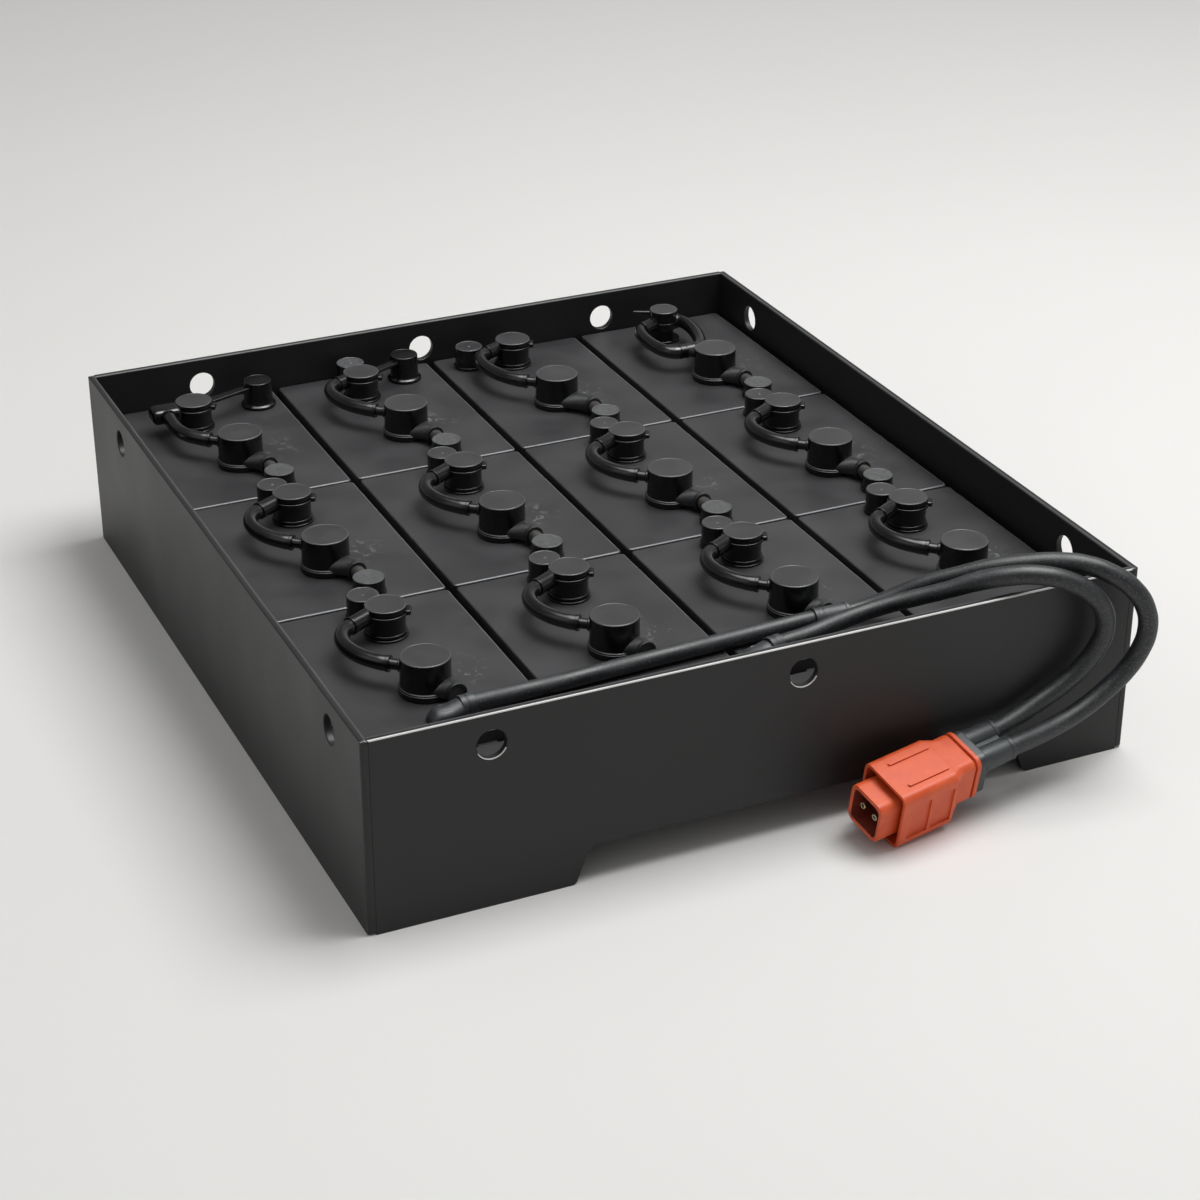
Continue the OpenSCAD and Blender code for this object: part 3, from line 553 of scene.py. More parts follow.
def make_piece(
    shape: Shape,
    name: str,
    materials: Sequence[Material],
    nodes: Sequence[str],
    sharp: float = 38.0,
) -> Piece:
    """Turns a shape in millimetres into a piece that stands for CAD nodes.

    Args:
        shape: The shape, freed afterwards.
        name: The piece's name.
        materials: Its materials, in the order of its faces' numbers.
        nodes: The CAD nodes that it replaces.
        sharp: Angle in degrees past which an edge stays sharp.

    Returns:
        The piece.
    """
    bmesh.ops.scale(shape, vec=(MM, MM, MM), verts=shape.verts)
    mesh = bpy.data.meshes.new(name)
    shape.to_mesh(mesh)
    shape.free()
    for material in materials:
        mesh.materials.append(material)
    mesh.shade_smooth()
    mesh.set_sharp_from_angle(angle=math.radians(sharp))
    piece = bpy.data.objects.new(name, mesh)
    bpy.context.scene.collection.objects.link(piece)
    normals = piece.modifiers.new("Weighted normals", "WEIGHTED_NORMAL")
    normals.keep_sharp = True
    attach(piece, "root")
    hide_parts(*nodes)
    return piece


def turned(profile: Sequence[Corner], steps: int = 48, ring: bool = False) -> Shape:
    """Spins a half section round the Z axis.

    Args:
        profile: Radius, height and rounding of each corner, in order.
        steps: Faces round the shape.
        ring: True where the section is closed and stands clear of the axis.

    Returns:
        The closed shape.
    """
    shape = bmesh.new()
    corners = [shape.verts.new((radius, 0.0, height)) for radius, height, _ in profile]
    for first, second in zip(corners, corners[1:]):
        shape.edges.new((first, second))
    if ring:
        shape.edges.new((corners[-1], corners[0]))
    for corner, (_, _, rounding) in zip(corners, profile):
        if rounding:
            soften(shape, [corner], rounding, Part.CORNER, 4)
    bmesh.ops.spin(
        shape,
        geom=shape.verts[:] + shape.edges[:],
        cent=(0, 0, 0),
        axis=(0, 0, 1),
        angle=math.tau,
        steps=steps,
        use_merge=True,
    )
    bmesh.ops.remove_doubles(shape, verts=shape.verts, dist=0.001)
    bmesh.ops.recalc_face_normals(shape, faces=shape.faces)
    return shape


def top_off(shape: Shape, height: float, top: int, rim: int) -> Shape:
    """Gives the flat top of a turned cap and the rim round it other finishes.

    Args:
        shape: The cap, standing on the origin.
        height: Its height.
        top: Number of the top's material slot.
        rim: Number of the rim's material slot.

    Returns:
        The same shape.
    """
    # Depth of the rounded rim, and how far up a face must look to count as flat or as the rim
    depth, flat, sloping = 1.2, 0.9, 0.2
    for face in shape.faces:
        if face.calc_center_median().z > height - depth:
            if face.normal.z > flat:
                face.material_index = top
            elif face.normal.z > sloping:
                face.material_index = rim
    return shape


def prism(outline: Sequence[Corner], depth: float, segments: int = 5) -> Shape:
    """Extrudes a flat outline with rounded corners along Z.

    Args:
        outline: X, Y and rounding of each corner, in order.
        depth: Length of the prism.
        segments: Faces round each rounded corner.

    Returns:
        The closed shape.
    """
    shape = bmesh.new()
    corners = [shape.verts.new((x, y, 0.0)) for x, y, _ in outline]
    shape.faces.new(corners)
    for corner, (_, _, rounding) in zip(corners, outline):
        if rounding:
            soften(shape, [corner], rounding, Part.CORNER, segments)
    grown = bmesh.ops.extrude_face_region(shape, geom=shape.faces[:])
    top = [item for item in grown["geom"] if isinstance(item, bmesh.types.BMVert)]
    bmesh.ops.translate(shape, vec=(0, 0, depth), verts=top)
    bmesh.ops.recalc_face_normals(shape, faces=shape.faces)
    return shape


def soft_box(size: Vector, rounding: float, segments: int = 3) -> Shape:
    """Makes a box round the origin with all its edges rounded."""
    shape = bmesh.new()
    bmesh.ops.create_cube(shape, size=1.0)
    bmesh.ops.scale(shape, vec=size, verts=shape.verts)
    soften(shape, shape.edges[:], rounding, Part.EDGE, segments)
    return shape


def lofted(rings: Sequence[tuple[Matrix, float]], sides: int = 20) -> Shape:
    """Bridges circles into one closed tube.

    Args:
        rings: Place and radius of each circle, in order. The place may squash its circle.
        sides: Faces round the tube.

    Returns:
        The closed shape.
    """
    shape = bmesh.new()
    before: list[bmesh.types.BMEdge] = []
    for place, radius in rings:
        made = bmesh.ops.create_circle(
            shape, cap_ends=False, radius=radius, segments=sides, matrix=place
        )
        circle = list({edge for vert in made["verts"] for edge in vert.link_edges})
        if before:
            bmesh.ops.bridge_loops(shape, edges=before + circle)
        before = circle
    bmesh.ops.holes_fill(shape, edges=shape.edges[:], sides=0)
    bmesh.ops.recalc_face_normals(shape, faces=shape.faces)
    return shape


def swept(line: Sequence[Vector], radii: Sequence[float], sides: int = 20) -> Shape:
    """Lofts a tube along a level line of points, with a radius at each."""
    rings = []
    for k, (point, radius) in enumerate(zip(line, radii)):
        way = line[min(k + 1, len(line) - 1)] - line[max(k - 1, 0)]
        rings.append((aimed(point, way), radius))
    return lofted(rings, sides)


def aimed(at: Vector, way: Vector) -> Matrix:
    """Returns a place at a point, with the Z axis along a direction and Y kept upwards."""
    return Matrix.Translation(at) @ way.to_track_quat("Z", "Y").to_matrix().to_4x4()


def oval(at: Vector, way: Vector, half_w: float, half_h: float) -> tuple[Matrix, float]:
    """Returns an oval for a loft, across a direction.

    Args:
        at: Its middle.
        way: The direction.
        half_w: Half of its width.
        half_h: Half of its height.

    Returns:
        Its place and radius, as lofted takes them.
    """
    squash = Matrix.Diagonal((half_w / UNIT_RING, half_h / UNIT_RING, 1, 1))
    return aimed(at, way) @ squash, UNIT_RING


def heading(degrees: float) -> Vector:
    """Returns a level direction, in degrees from the right."""
    return Vector((math.cos(math.radians(degrees)), math.sin(math.radians(degrees)), 0.0))


def carved(body: Shape, tools: Sequence[Shape], keep: Cut = Cut.REST) -> Shape:
    """Cuts tools from a body, or keeps what it shares with them.

    Args:
        body: The shape to cut, freed afterwards.
        tools: The shapes to cut it with, freed afterwards.
        keep: What is kept of the body.

    Returns:
        The cut shape.
    """
    holders = []
    for shape in (body, *tools):
        bmesh.ops.recalc_face_normals(shape, faces=shape.faces)
        mesh = bpy.data.meshes.new("cut")
        shape.to_mesh(mesh)
        shape.free()
        holder = bpy.data.objects.new("cut", mesh)
        bpy.context.scene.collection.objects.link(holder)
        holders.append(holder)
    for holder in holders[1:]:
        cut = holders[0].modifiers.new("Cut", "BOOLEAN")
        cut.operation = keep.value
        cut.solver = "EXACT"
        cut.object = holder
    result = bmesh.new()
    result.from_object(holders[0], bpy.context.evaluated_depsgraph_get())
    for holder in holders:
        mesh = holder.data
        bpy.data.objects.remove(holder)
        bpy.data.meshes.remove(mesh)
    return result


def bezier(start: Vector, first: Vector, second: Vector, stop: Vector, steps: int) -> list[Vector]:
    """Returns points along a cubic curve.

    Args:
        start: Its start.
        first: Its first control point.
        second: Its second control point.
        stop: Its end.
        steps: Number of stretches.

    Returns:
        The points, from start to stop.
    """
    line = []
    for k in range(steps + 1):
        t = k / steps
        line.append(
            start * (1 - t) ** 3
            + first * 3 * t * (1 - t) ** 2
            + second * 3 * t**2 * (1 - t)
            + stop * t**3
        )
    return line


@dataclass(frozen=True)
class Layout:
    """Where things stand on the cells, in millimetres.

    A place on a cell is measured from its middle line and its front or rear edge.

    Attributes:
        valve: A valve, from the front edge.
        valve_shift: How far the eleventh cell's valve stands from there.
        collar: The collar of a valve's ear, from the front edge.
        front_collar: The same on a cell of the front row.
        vent: A vent plug, from the rear edge.
        back_vents: The same in the back row.
        sleeve_from: Start of a hose sleeve, from the rear edge.
        sleeve_to: End of a hose sleeve, from the rear edge.
        back_from: Starts of the sleeves on the last three cells.
        back_to: Ends of the back row's sleeves.
        front_pole: A cell's front pole, from the front edge.
        rear_pole: A cell's rear pole, from the rear edge.
        hose_z: Height of the hoses above the lids.
    """

    valve: Spot = (-2.0, 74.5)
    valve_shift: Spot = (-5.0, 5.5)
    collar: Spot = (13.0, 47.0)
    front_collar: Spot = (12.0, 52.0)
    vent: Spot = (3.0, 53.0)
    back_vents: tuple[Spot, ...] = (
        (-16.0, 57.0), (-10.5, 56.0), (-7.0, 40.0), (-4.0, 42.5),
    )
    sleeve_from: Spot = (-8.0, 52.0)
    sleeve_to: Spot = (-31.0, 64.5)
    back_from: tuple[Spot, ...] = ((-20.0, 54.0), (-18.0, 38.0), (-16.0, 46.0))
    back_to: tuple[Spot, ...] = (
        (-44.0, 71.0), (-36.0, 61.0), (-38.0, 48.0), (-34.0, 56.0),
    )
    front_pole: Spot = (15.0, 17.5)
    rear_pole: Spot = (-4.5, 20.5)
    hose_z: float = 19.5

    def on_cell(self, cell: int, spot: Spot, height: float = 0.0) -> Vector:
        """Returns a place from a cell's middle line and front edge, at a height above its lid."""
        low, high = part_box(f"cell_{cell + 1}")
        middle = (low.x + high.x) / 2 / MM
        return Vector((middle + spot[0], low.y / MM + spot[1], high.z / MM + height))

    def from_rear(self, cell: int, spot: Spot, height: float = 0.0) -> Vector:
        """Returns a place from a cell's middle line and rear edge, at a height above its lid."""
        low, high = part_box(f"cell_{cell + 1}")
        middle = (low.x + high.x) / 2 / MM
        return Vector((middle + spot[0], high.y / MM - spot[1], high.z / MM + height))

    def valve_at(self, cell: int) -> Vector:
        """Returns the middle of a cell's valve, on its lid."""
        shift = self.valve_shift if cell == SHIFTED_CELL else (0.0, 0.0)
        return self.on_cell(cell, (self.valve[0] + shift[0], self.valve[1] + shift[1]))

    def vent_at(self, cell: int) -> Vector:
        """Returns the middle of a cell's vent plug, on its lid."""
        back = cell // COLUMNS == ROWS - 1
        return self.from_rear(cell, self.back_vents[cell % COLUMNS] if back else self.vent)

    def collar_at(self, cell: int) -> Vector:
        """Returns the middle of the collar of a valve's ear, on its lid."""
        return self.on_cell(cell, self.front_collar if cell < COLUMNS else self.collar)

    def sleeve(self, cell: int) -> tuple[Vector, Vector]:
        """Returns the start and end of a cell's hose sleeve, at the hose's height."""
        if cell // COLUMNS < ROWS - 1:
            start, stop = self.sleeve_from, self.sleeve_to
        else:
            # The elbow of the row's first cell has no start of its own
            column = cell % COLUMNS
            start, stop = self.back_from[max(column - 1, 0)], self.back_to[column]
        return self.from_rear(cell, start, self.hose_z), self.from_rear(cell, stop, self.hose_z)


@dataclass
class Studio:
    """The camera, the pale floor and the soft light.

    Attributes:
        lens: Focal length on a 36 mm sensor.
        location: The camera's place, in metres.
        right: The picture's right, in the model's frame.
        down: The picture's downward direction.
        forward: The camera's viewing direction.
        floor_colour: The floor's paint, sRGB hex.
        floor_mottle: The colour that it drifts towards, sRGB hex.
        floor_size: Side of the floor, in metres.
        ambient: Strength of the even light.
        overhead: Share of the horizon's brightness that shiny surfaces mirror from above.
        haze: Heights on the unit sphere between which the horizon fades to that share.
        flanks: Shares of that brightness on the left and on the right.
        flank_band: Places across the unit sphere between which the one turns into the other.
        ceiling: Brightness of the light panel right over the tray.
        ceiling_edge: Heights on the unit sphere between which the panel begins.
        lamps: Name, place in metres, side in metres and power in watts of each soft box.
    """

    lens: float = 81.404
    location: Corner = (-0.86158, -1.94658, 1.14531)
    right: Corner = (0.90994198, -0.41473463, -0.00088035)
    down: Corner = (-0.19263941, -0.42077574, -0.88647495)
    forward: Corner = (0.36728143, 0.80681036, -0.46277575)
    floor_colour: str = "#dddcda"
    floor_mottle: str = "#e2e1df"
    floor_size: float = 16.0
    ambient: float = 0.36
    overhead: float = 0.44
    haze: Spot = (0.02, 0.34)
    flanks: Spot = (0.5, 1.1)
    flank_band: Spot = (0.24, 0.42)
    ceiling: float = 8.0
    ceiling_edge: Spot = (0.86, 0.93)
    lamps: tuple[tuple[str, Corner, float, float], ...] = (
        ("Key", (1.05, -0.25, 2.95), 1.9, 89.0),
        ("Fill", (-2.4, -0.4, 1.8), 1.6, 4.0),
    )

    def build_camera(self) -> None:
        """Places the photograph's camera."""
        data = bpy.data.cameras.new("Camera")
        data.lens = self.lens
        data.sensor_width = 36.0
        camera = bpy.data.objects.new("Camera", data)
        turn = Matrix((self.right, -Vector(self.down), -Vector(self.forward))).transposed()
        camera.matrix_world = Matrix.Translation(self.location) @ turn.to_4x4()
        bpy.context.scene.collection.objects.link(camera)
        bpy.context.scene.camera = camera

    def build_floor(self) -> None:
        """Lays the floor under the tray, with a paper-like paint."""
        shape = bmesh.new()
        bmesh.ops.create_grid(shape, x_segments=1, y_segments=1, size=self.floor_size / 2)
        mesh = bpy.data.meshes.new("Floor")
        shape.to_mesh(mesh)
        shape.free()
        floor = bpy.data.objects.new("Floor", mesh)
        bpy.context.scene.collection.objects.link(floor)
        made = bpy.data.materials.new("studio floor paint")
        made.use_nodes = True
        tree = made.node_tree
        tree.nodes.clear()
        coords = add_node(tree, "ShaderNodeTexCoord").outputs["Object"]
        drift = add_node(
            tree, "ShaderNodeTexNoise", {"Vector": coords, "Scale": 1.2, "Detail": 2.0}
        ).outputs[0]
        colour = add_node(
            tree,
            "ShaderNodeMix",
            {0: drift, 6: linear(self.floor_colour), 7: linear(self.floor_mottle)},
            data_type="RGBA",
        ).outputs[2]
        shader = add_node(
            tree, "ShaderNodeBsdfPrincipled", {"Base Color": colour, "Roughness": 0.85, "IOR": 1.3}
        )
        add_node(tree, "ShaderNodeOutputMaterial", {"Surface": shader.outputs[0]})
        mesh.materials.append(made)
        floor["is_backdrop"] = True

    def build_light(self) -> None:
        """Sets the even studio light and the soft boxes."""
        world = bpy.data.worlds.new("Studio")
        bpy.context.scene.world = world
        world.use_nodes = True
        tree = world.node_tree
        tree.nodes.clear()
        path = add_node(tree, "ShaderNodeLightPath")
        seen = add_node(
            tree,
            "ShaderNodeMath",
            {0: path.outputs["Is Camera Ray"], 1: path.outputs["Is Transmission Ray"]},
            operation="ADD",
            use_clamp=True,
        ).outputs[0]
        # Shiny surfaces mirror a studio that is pale at the horizon, dim higher up and lighter on
        # the right, with a bright panel in its ceiling
        way = add_node(tree, "ShaderNodeTexCoord").outputs["Generated"]
        parts = add_node(tree, "ShaderNodeSeparateXYZ", {0: way})
        rise, side, panel = (
            add_node(
                tree,
                "ShaderNodeMapRange",
                {
                    "Value": parts.outputs[axis],
                    "From Min": band[0],
                    "From Max": band[1],
                    "To Min": shares[0],
                    "To Max": shares[1],
                },
            ).outputs[0]
            for axis, band, shares in (
                ("Z", self.haze, (1.0, self.overhead)),
                ("X", self.flank_band, self.flanks),
                ("Z", self.ceiling_edge, (0.0, self.ceiling)),
            )
        )
        dome = add_node(
            tree, "ShaderNodeMath", {0: rise, 1: side, 2: panel}, operation="MULTIPLY_ADD"
        ).outputs[0]
        pale = linear(self.floor_colour)
        fill, back, mirrored = (
            add_node(tree, "ShaderNodeBackground", {"Color": colour, "Strength": power}).outputs[0]
            for colour, power in ((linear("#ffffff"), self.ambient), (pale, 1.0), (pale, dome))
        )
        mixed = add_node(tree, "ShaderNodeMixShader", {0: seen, 1: fill, 2: back}).outputs[0]
        mixed = add_node(
            tree, "ShaderNodeMixShader", {0: path.outputs["Is Glossy Ray"], 1: mixed, 2: mirrored}
        ).outputs[0]
        add_node(tree, "ShaderNodeOutputWorld", {"Surface": mixed})
        for lamp in self.lamps:
            self.add_soft_box(*lamp)

    def add_soft_box(self, name: str, location: Corner, size: float, power: float) -> None:
        """Hangs a square area lamp that faces the tray.

        Args:
            name: The lamp's name.
            location: Its place, in metres.
            size: Its side, in metres.
            power: Its power, in watts.
        """
        data = bpy.data.lights.new(name, "AREA")
        data.size = size
        data.energy = power
        lamp = bpy.data.objects.new(name, data)
        lamp.location = location
        lamp.rotation_euler = (-Vector(location)).to_track_quat("-Z", "Y").to_euler()
        bpy.context.scene.collection.objects.link(lamp)

    def set_view(self) -> None:
        """Keeps colours as they are written."""
        bpy.context.scene.view_settings.view_transform = "Standard"


@dataclass
class ChargingLead:
    """Two cables from their lug boots over the rim to the plug, with the coupling on the outer one.

    Attributes:
        origin: The tray's front left corner, in millimetres.
        outer: Points of the outer cable's middle line, from that corner.
        inner: Points of the inner cable's middle line, in the same way.
        radius: Radius of a cable.
        swell: How much thicker a cable looks in its loose loop.
        swell_start: Distance of that loop's start from the tray's left side.
        coupling_start: Point that the coupling begins after.
        coupling_l: Length of the coupling.
        coupling_r: Radius of its rings.
        play: Play of a cable in its coupling and sockets.
        lug_spots: Cell and place of each lug boot, from the cell's front edge.
        paddle: A lug boot's distance from its foot, half width, half height and middle height,
            from its tip to the socket.
    """

    origin: Spot = (-330.0, -367.5)
    outer: tuple[Corner, ...] = (
        (104, 72, 133.5), (118, 73, 133.5), (150, 75, 132.5), (188, 76, 132.3), (222, 78, 132.3),
        (258, 80, 132.3), (302, 82, 132.3), (347, 84, 132.3), (380, 84, 133.3), (402, 83.5, 134.5),
        (450, 80.5, 135.5), (474, 72, 145), (497, 60, 158), (520, 46, 168), (543, 32, 176),
        (564, 19, 181), (585, 6, 184), (604, -6, 183), (622, -17, 176), (637, -26, 164),
        (647, -31, 147), (650, -32, 128), (646, -30, 109), (636, -27, 91), (620, -25, 76),
        (600, -25, 64), (578, -27, 57), (555, -31, 54), (528.9, -35.8, 52.8), (508.2, -39, 51.2),
    )
    inner: tuple[Corner, ...] = (
        (357, 57, 133.5), (371, 60, 133.5), (394, 61, 135), (418, 62, 139), (441, 60, 144),
        (463, 54, 150), (484, 44, 157), (503, 32, 165), (522, 20, 174), (541, 6, 181),
        (561, -6, 183), (583, -15, 177), (601, -20, 165), (613, -22, 149), (617, -21, 131),
        (613, -18, 113), (602, -15, 96), (585, -13, 82), (565, -12, 71), (545, -13, 62.5),
        (525.3, -15.7, 57.9), (504.6, -19, 56.2),
    )
    radius: float = 7.0
    swell: float = 1.15
    swell_start: float = 520.0
    coupling_start: int = 9
    coupling_l: float = 30.0
    coupling_r: float = 8.7
    play: float = 0.3
    lug_spots: tuple[tuple[int, Spot], ...] = ((0, (-5.0, 27.0)), (2, (-67.0, 11.5)))
    paddle: tuple[tuple[float, float, float, float], ...] = (
        (-13.4, 5.0, 1.8, 2.0),
        (-12.8, 6.4, 2.5, 2.7),
        (-10.0, 7.9, 4.4, 4.7),
        (-7.0, 8.7, 5.6, 5.9),
        (-3.0, 9.4, 5.9, 6.0),
        (2.0, 9.5, 6.0, 6.1),
        (9.0, 9.0, 6.9, 6.9),
        (16.0, 8.4, 8.1, 8.3),
    )

    def build(self, layout: Layout) -> None:
        """Args:
            layout: Where things stand on the cells.
        """
        sheath = SHEATH.material()
        boot = BOOT.material()
        outer = self.build_cable("cable_outer", self.outer, sheath, "outer_cable")
        inner = self.build_cable("cable_inner", self.inner, sheath, "inner_cable")
        coupling = self.build_coupling(boot)
        self.build_lugs(layout, boot)
        plug = Plug().build(boot)
        first = self.points(self.outer)
        second = self.points(self.inner)

    def points(self, route: Sequence[Corner]) -> list[Vector]:
        """Returns a route's points in the model's frame, in millimetres."""
        return [Vector((x + self.origin[0], y + self.origin[1], z)) for x, y, z in route]

    def build_cable(
        self, name: str, route: Sequence[Corner], material: Material, node: str
    ) -> Piece:
        """Makes one cable as a smooth curve with a round section.

        Args:
            name: The piece's name.
            route: Points of its middle line.
            material: Its finish.
            node: The CAD node that it replaces.

        Returns:
            The piece.
        """
        data = bpy.data.curves.new(name, "CURVE")
        data.dimensions = "3D"
        data.bevel_depth = self.radius * MM
        data.bevel_resolution = 6
        data.resolution_u = 8
        data.use_fill_caps = True
        spline = data.splines.new("BEZIER")
        spline.bezier_points.add(len(route) - 1)
        for point, place in zip(spline.bezier_points, self.points(route)):
            point.co = place * MM
            point.handle_left_type = "AUTO"
            point.handle_right_type = "AUTO"
            if place.x > self.origin[0] + self.swell_start:
                point.radius = self.swell
        data.materials.append(material)
        piece = bpy.data.objects.new(name, data)
        bpy.context.scene.collection.objects.link(piece)
        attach(piece, "root")
        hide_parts(node)
        return piece

    def build_coupling(self, material: Material) -> Piece:
        """Makes the crimped sleeve on the outer cable, with its rings."""
        line = self.points(self.outer)
        start, stop = line[self.coupling_start], line[self.coupling_start + 1]
        way = (stop - start).normalized()
        inside = self.radius + self.play
        outside = self.coupling_r - 0.5
        length = self.coupling_l
        shape = turned(
            [
                (inside, 0, 0),
                (self.coupling_r, 0, 0.4),
                (self.coupling_r, 3, 0.4),
                (outside, 3.2, 0),
                (outside, 7, 0.3),
                (outside - 0.3, 7.4, 0),
                (outside - 0.3, 8.2, 0),
                (outside, 8.6, 0.3),
                (outside, length - 3.2, 0),
                (self.coupling_r, length - 3, 0.4),
                (self.coupling_r, length, 0.4),
                (inside, length, 0),
            ],
            ring=True,
        )
        piece = alone(shape, aimed((start + stop) / 2 - way * length / 2, way))
        return make_piece(piece, "coupling_sleeve", [material], ["cable_coupling"])

    def build_lugs(self, layout: Layout, material: Material) -> None:
        """Makes the two lug boots: a flat paddle that runs into a banded cable socket."""
        piece = bmesh.new()
        for (cell, spot), route in zip(self.lug_spots, (self.outer, self.inner)):
            foot = layout.on_cell(cell, spot)
            line = self.points(route)
            way = (line[1] - line[0]).normalized()
            level = Vector((way.x, way.y, 0)).normalized()
            rings = [
                oval(foot + level * along + Vector((0, 0, middle)), level, half_w, half_h)
                for along, half_w, half_h, middle in self.paddle
            ]
            merge(piece, lofted(rings, 28))
            inside = self.radius + self.play
            socket = turned(
                [
                    (inside, 0, 0),
                    (8.4, 0, 0.4),
                    (8.4, 4, 0.3),
                    (8.0, 4.4, 0),
                    (8.0, 5.4, 0),
                    (8.4, 5.8, 0.3),
                    (8.4, 12, 0.5),
                    (inside, 12, 0),
                ],
                ring=True,
            )
            merge(piece, socket, aimed(line[0], way))
        make_piece(piece, "lug_boots", [material], ["cable_lugs"])


@dataclass(frozen=True)
class Section:
    """A rounded rectangle across the plug.

    Attributes:
        at: Its place along the plug, in millimetres from the shell's mouth.
        width: Its width.
        height: Its height.
        radius: Its corner radius.
        rise: How far its middle sits above the shell's middle.
    """

    at: float
    width: float
    height: float
    radius: float
    rise: float = 0.0


@dataclass
class Plug:
    """The orange charging plug with its boot.

    Attributes:
        place: The middle of the shell's mouth, in millimetres.
        turn: Heading, dip and roll, in degrees.
        shell_w: Width of the shell.
        shell_h: Height of the shell.
        shell_l: Length of the shell.
        nose_w: Width of the nose.
        nose_reach: How far the nose stands out.
        rear_rise: How far the narrow rear sits above the shell's middle.
        boot_rise: How far the cable boots sit above it.
        boot_pitch: Distance between the cable boots.
        panels: Starts and ends of the panels in a side, from the mouth.
        panel_w: Width of a panel.
        rib_w: Width of a rib.
        rib_end: Distance from a rib's end to the shell's.
        socket_depth: Depth of the nose's socket.
        contact_pitch: Distance between the contacts.
        contact_depth: Distance from the nose's mouth to a contact's foot.
    """

    place: Corner = (77.5, -408.5, 31.27)
    turn: Corner = (189.0, 4.5, -14.0)
    shell_w: float = 51.0
    shell_h: float = 55.0
    shell_l: float = 60.0
    nose_w: float = 38.0
    nose_reach: float = 16.5
    rear_rise: float = 6.0
    boot_rise: float = 15.0
    boot_pitch: float = 21.0
    panels: tuple[Spot, ...] = ((8.0, 28.0), (31.0, 51.0))
    panel_w: float = 34.0
    rib_w: float = 3.4
    rib_end: float = 10.0
    socket_depth: float = 20.0
    contact_pitch: float = 14.5
    contact_depth: float = 16.0

    def frame_matrix(self) -> Matrix:
        """Returns the plug's place and turn."""
        heading, dip, roll = (math.radians(angle) for angle in self.turn)
        return (
            Matrix.Translation(self.place)
            @ Matrix.Rotation(heading, 4, "Z")
            @ Matrix.Rotation(dip, 4, "Y")
            @ Matrix.Rotation(roll, 4, "X")
        )

    def loft(self, sections: Sequence[Section]) -> Shape:
        """Bridges rounded rectangles into one closed shape along the plug.

        Args:
            sections: The rectangles, in order.

        Returns:
            The shape, in the plug's own frame.
        """
        shape = bmesh.new()
        before: list[bmesh.types.BMEdge] = []
        for section in sections:
            flat = bmesh.new()
            half_w, half_h = section.width / 2, section.height / 2
            corners = [
                flat.verts.new((section.at, y * half_w, section.rise + z * half_h))
                for y, z in ((-1, -1), (1, -1), (1, 1), (-1, 1))
            ]
            flat.faces.new(corners)
            soften(flat, corners, section.radius, Part.CORNER, 6)
            bmesh.ops.delete(flat, geom=flat.faces[:], context="FACES_ONLY")
            count = len(shape.edges)
            mesh = bpy.data.meshes.new("section")
            flat.to_mesh(mesh)
            flat.free()
            shape.from_mesh(mesh)
            bpy.data.meshes.remove(mesh)
            shape.edges.ensure_lookup_table()
            loop = [shape.edges[k] for k in range(count, len(shape.edges))]
            if before:
                bmesh.ops.bridge_loops(shape, edges=before + loop)
            before = loop
        bmesh.ops.holes_fill(shape, edges=shape.edges[:], sides=0)
        bmesh.ops.recalc_face_normals(shape, faces=shape.faces)
        return shape

    def build(self, boot: Material) -> list[Piece]:
        """Makes the plug's five pieces.

        Args:
            boot: The boots' finish.

        Returns:
            The pieces.
        """
        orange = ORANGE.material()
        return [
            self.build_shell(orange),
            self.build_nose(orange),
            self.build_contacts(BRASS.material()),
            self.build_ring(orange),
            self.build_boot(boot),
        ]

    def build_shell(self, material: Material) -> Piece:
        """Makes the shell: open mouth, ribs on top, panels sunk in its sides and a stepped rear."""
        width, height, length = self.shell_w, self.shell_h, self.shell_l
        shape = self.loft(
            [
                Section(-length - 14, 41.2, 41.2, 6.6, self.rear_rise),
                Section(-length - 13.4, 42, 42, 7, self.rear_rise),
                Section(-length - 1, 42, 42, 7, self.rear_rise),
                Section(-length, 43.5, 43.5, 7, self.rear_rise - 0.6),
                Section(-length + 6.5, width - 0.8, height - 0.8, 7, 0),
                Section(-length + 7.5, width, height, 7),
                Section(-0.9, width, height, 7),
                Section(-0.25, width - 0.5, height - 0.5, 6.8),
                Section(0, width - 1.4, height - 1.4, 6.4),
                Section(0, width - 4.8, height - 4.8, 4.8),
                Section(-0.25, width - 5.6, height - 5.6, 4.3),
                Section(-1, width - 6, height - 6, 4),
                Section(-30, width - 6, height - 6, 4),
            ]
        )
        panels = []
        for side in (-1, 1):
            for start, stop in self.panels:
                cutter = soft_box(Vector((stop - start, 3.4, self.panel_w)), 0.5)
                middle = Vector((-(start + stop) / 2, side * width / 2, -1.0))
                panels.append(placed(cutter, Matrix.Translation(middle)))
        piece = alone(carved(shape, panels), self.frame_matrix())
        half_l, half_w = length / 2 - self.rib_end, self.rib_w / 2
        corners = ((-half_l, -half_w), (half_l, -half_w), (half_l, half_w), (-half_l, half_w))
        for side in (-1, 1):
            rib = prism([(x, y, half_w - 0.1) for x, y in corners], 3.0)
            middle = Vector((-length / 2 - 2.0, side * width / 4, height / 2 - 1.6))
            merge(piece, rib, self.frame_matrix() @ Matrix.Translation(middle))
        return make_piece(piece, "plug_housing", [material], ["plug_shell"])

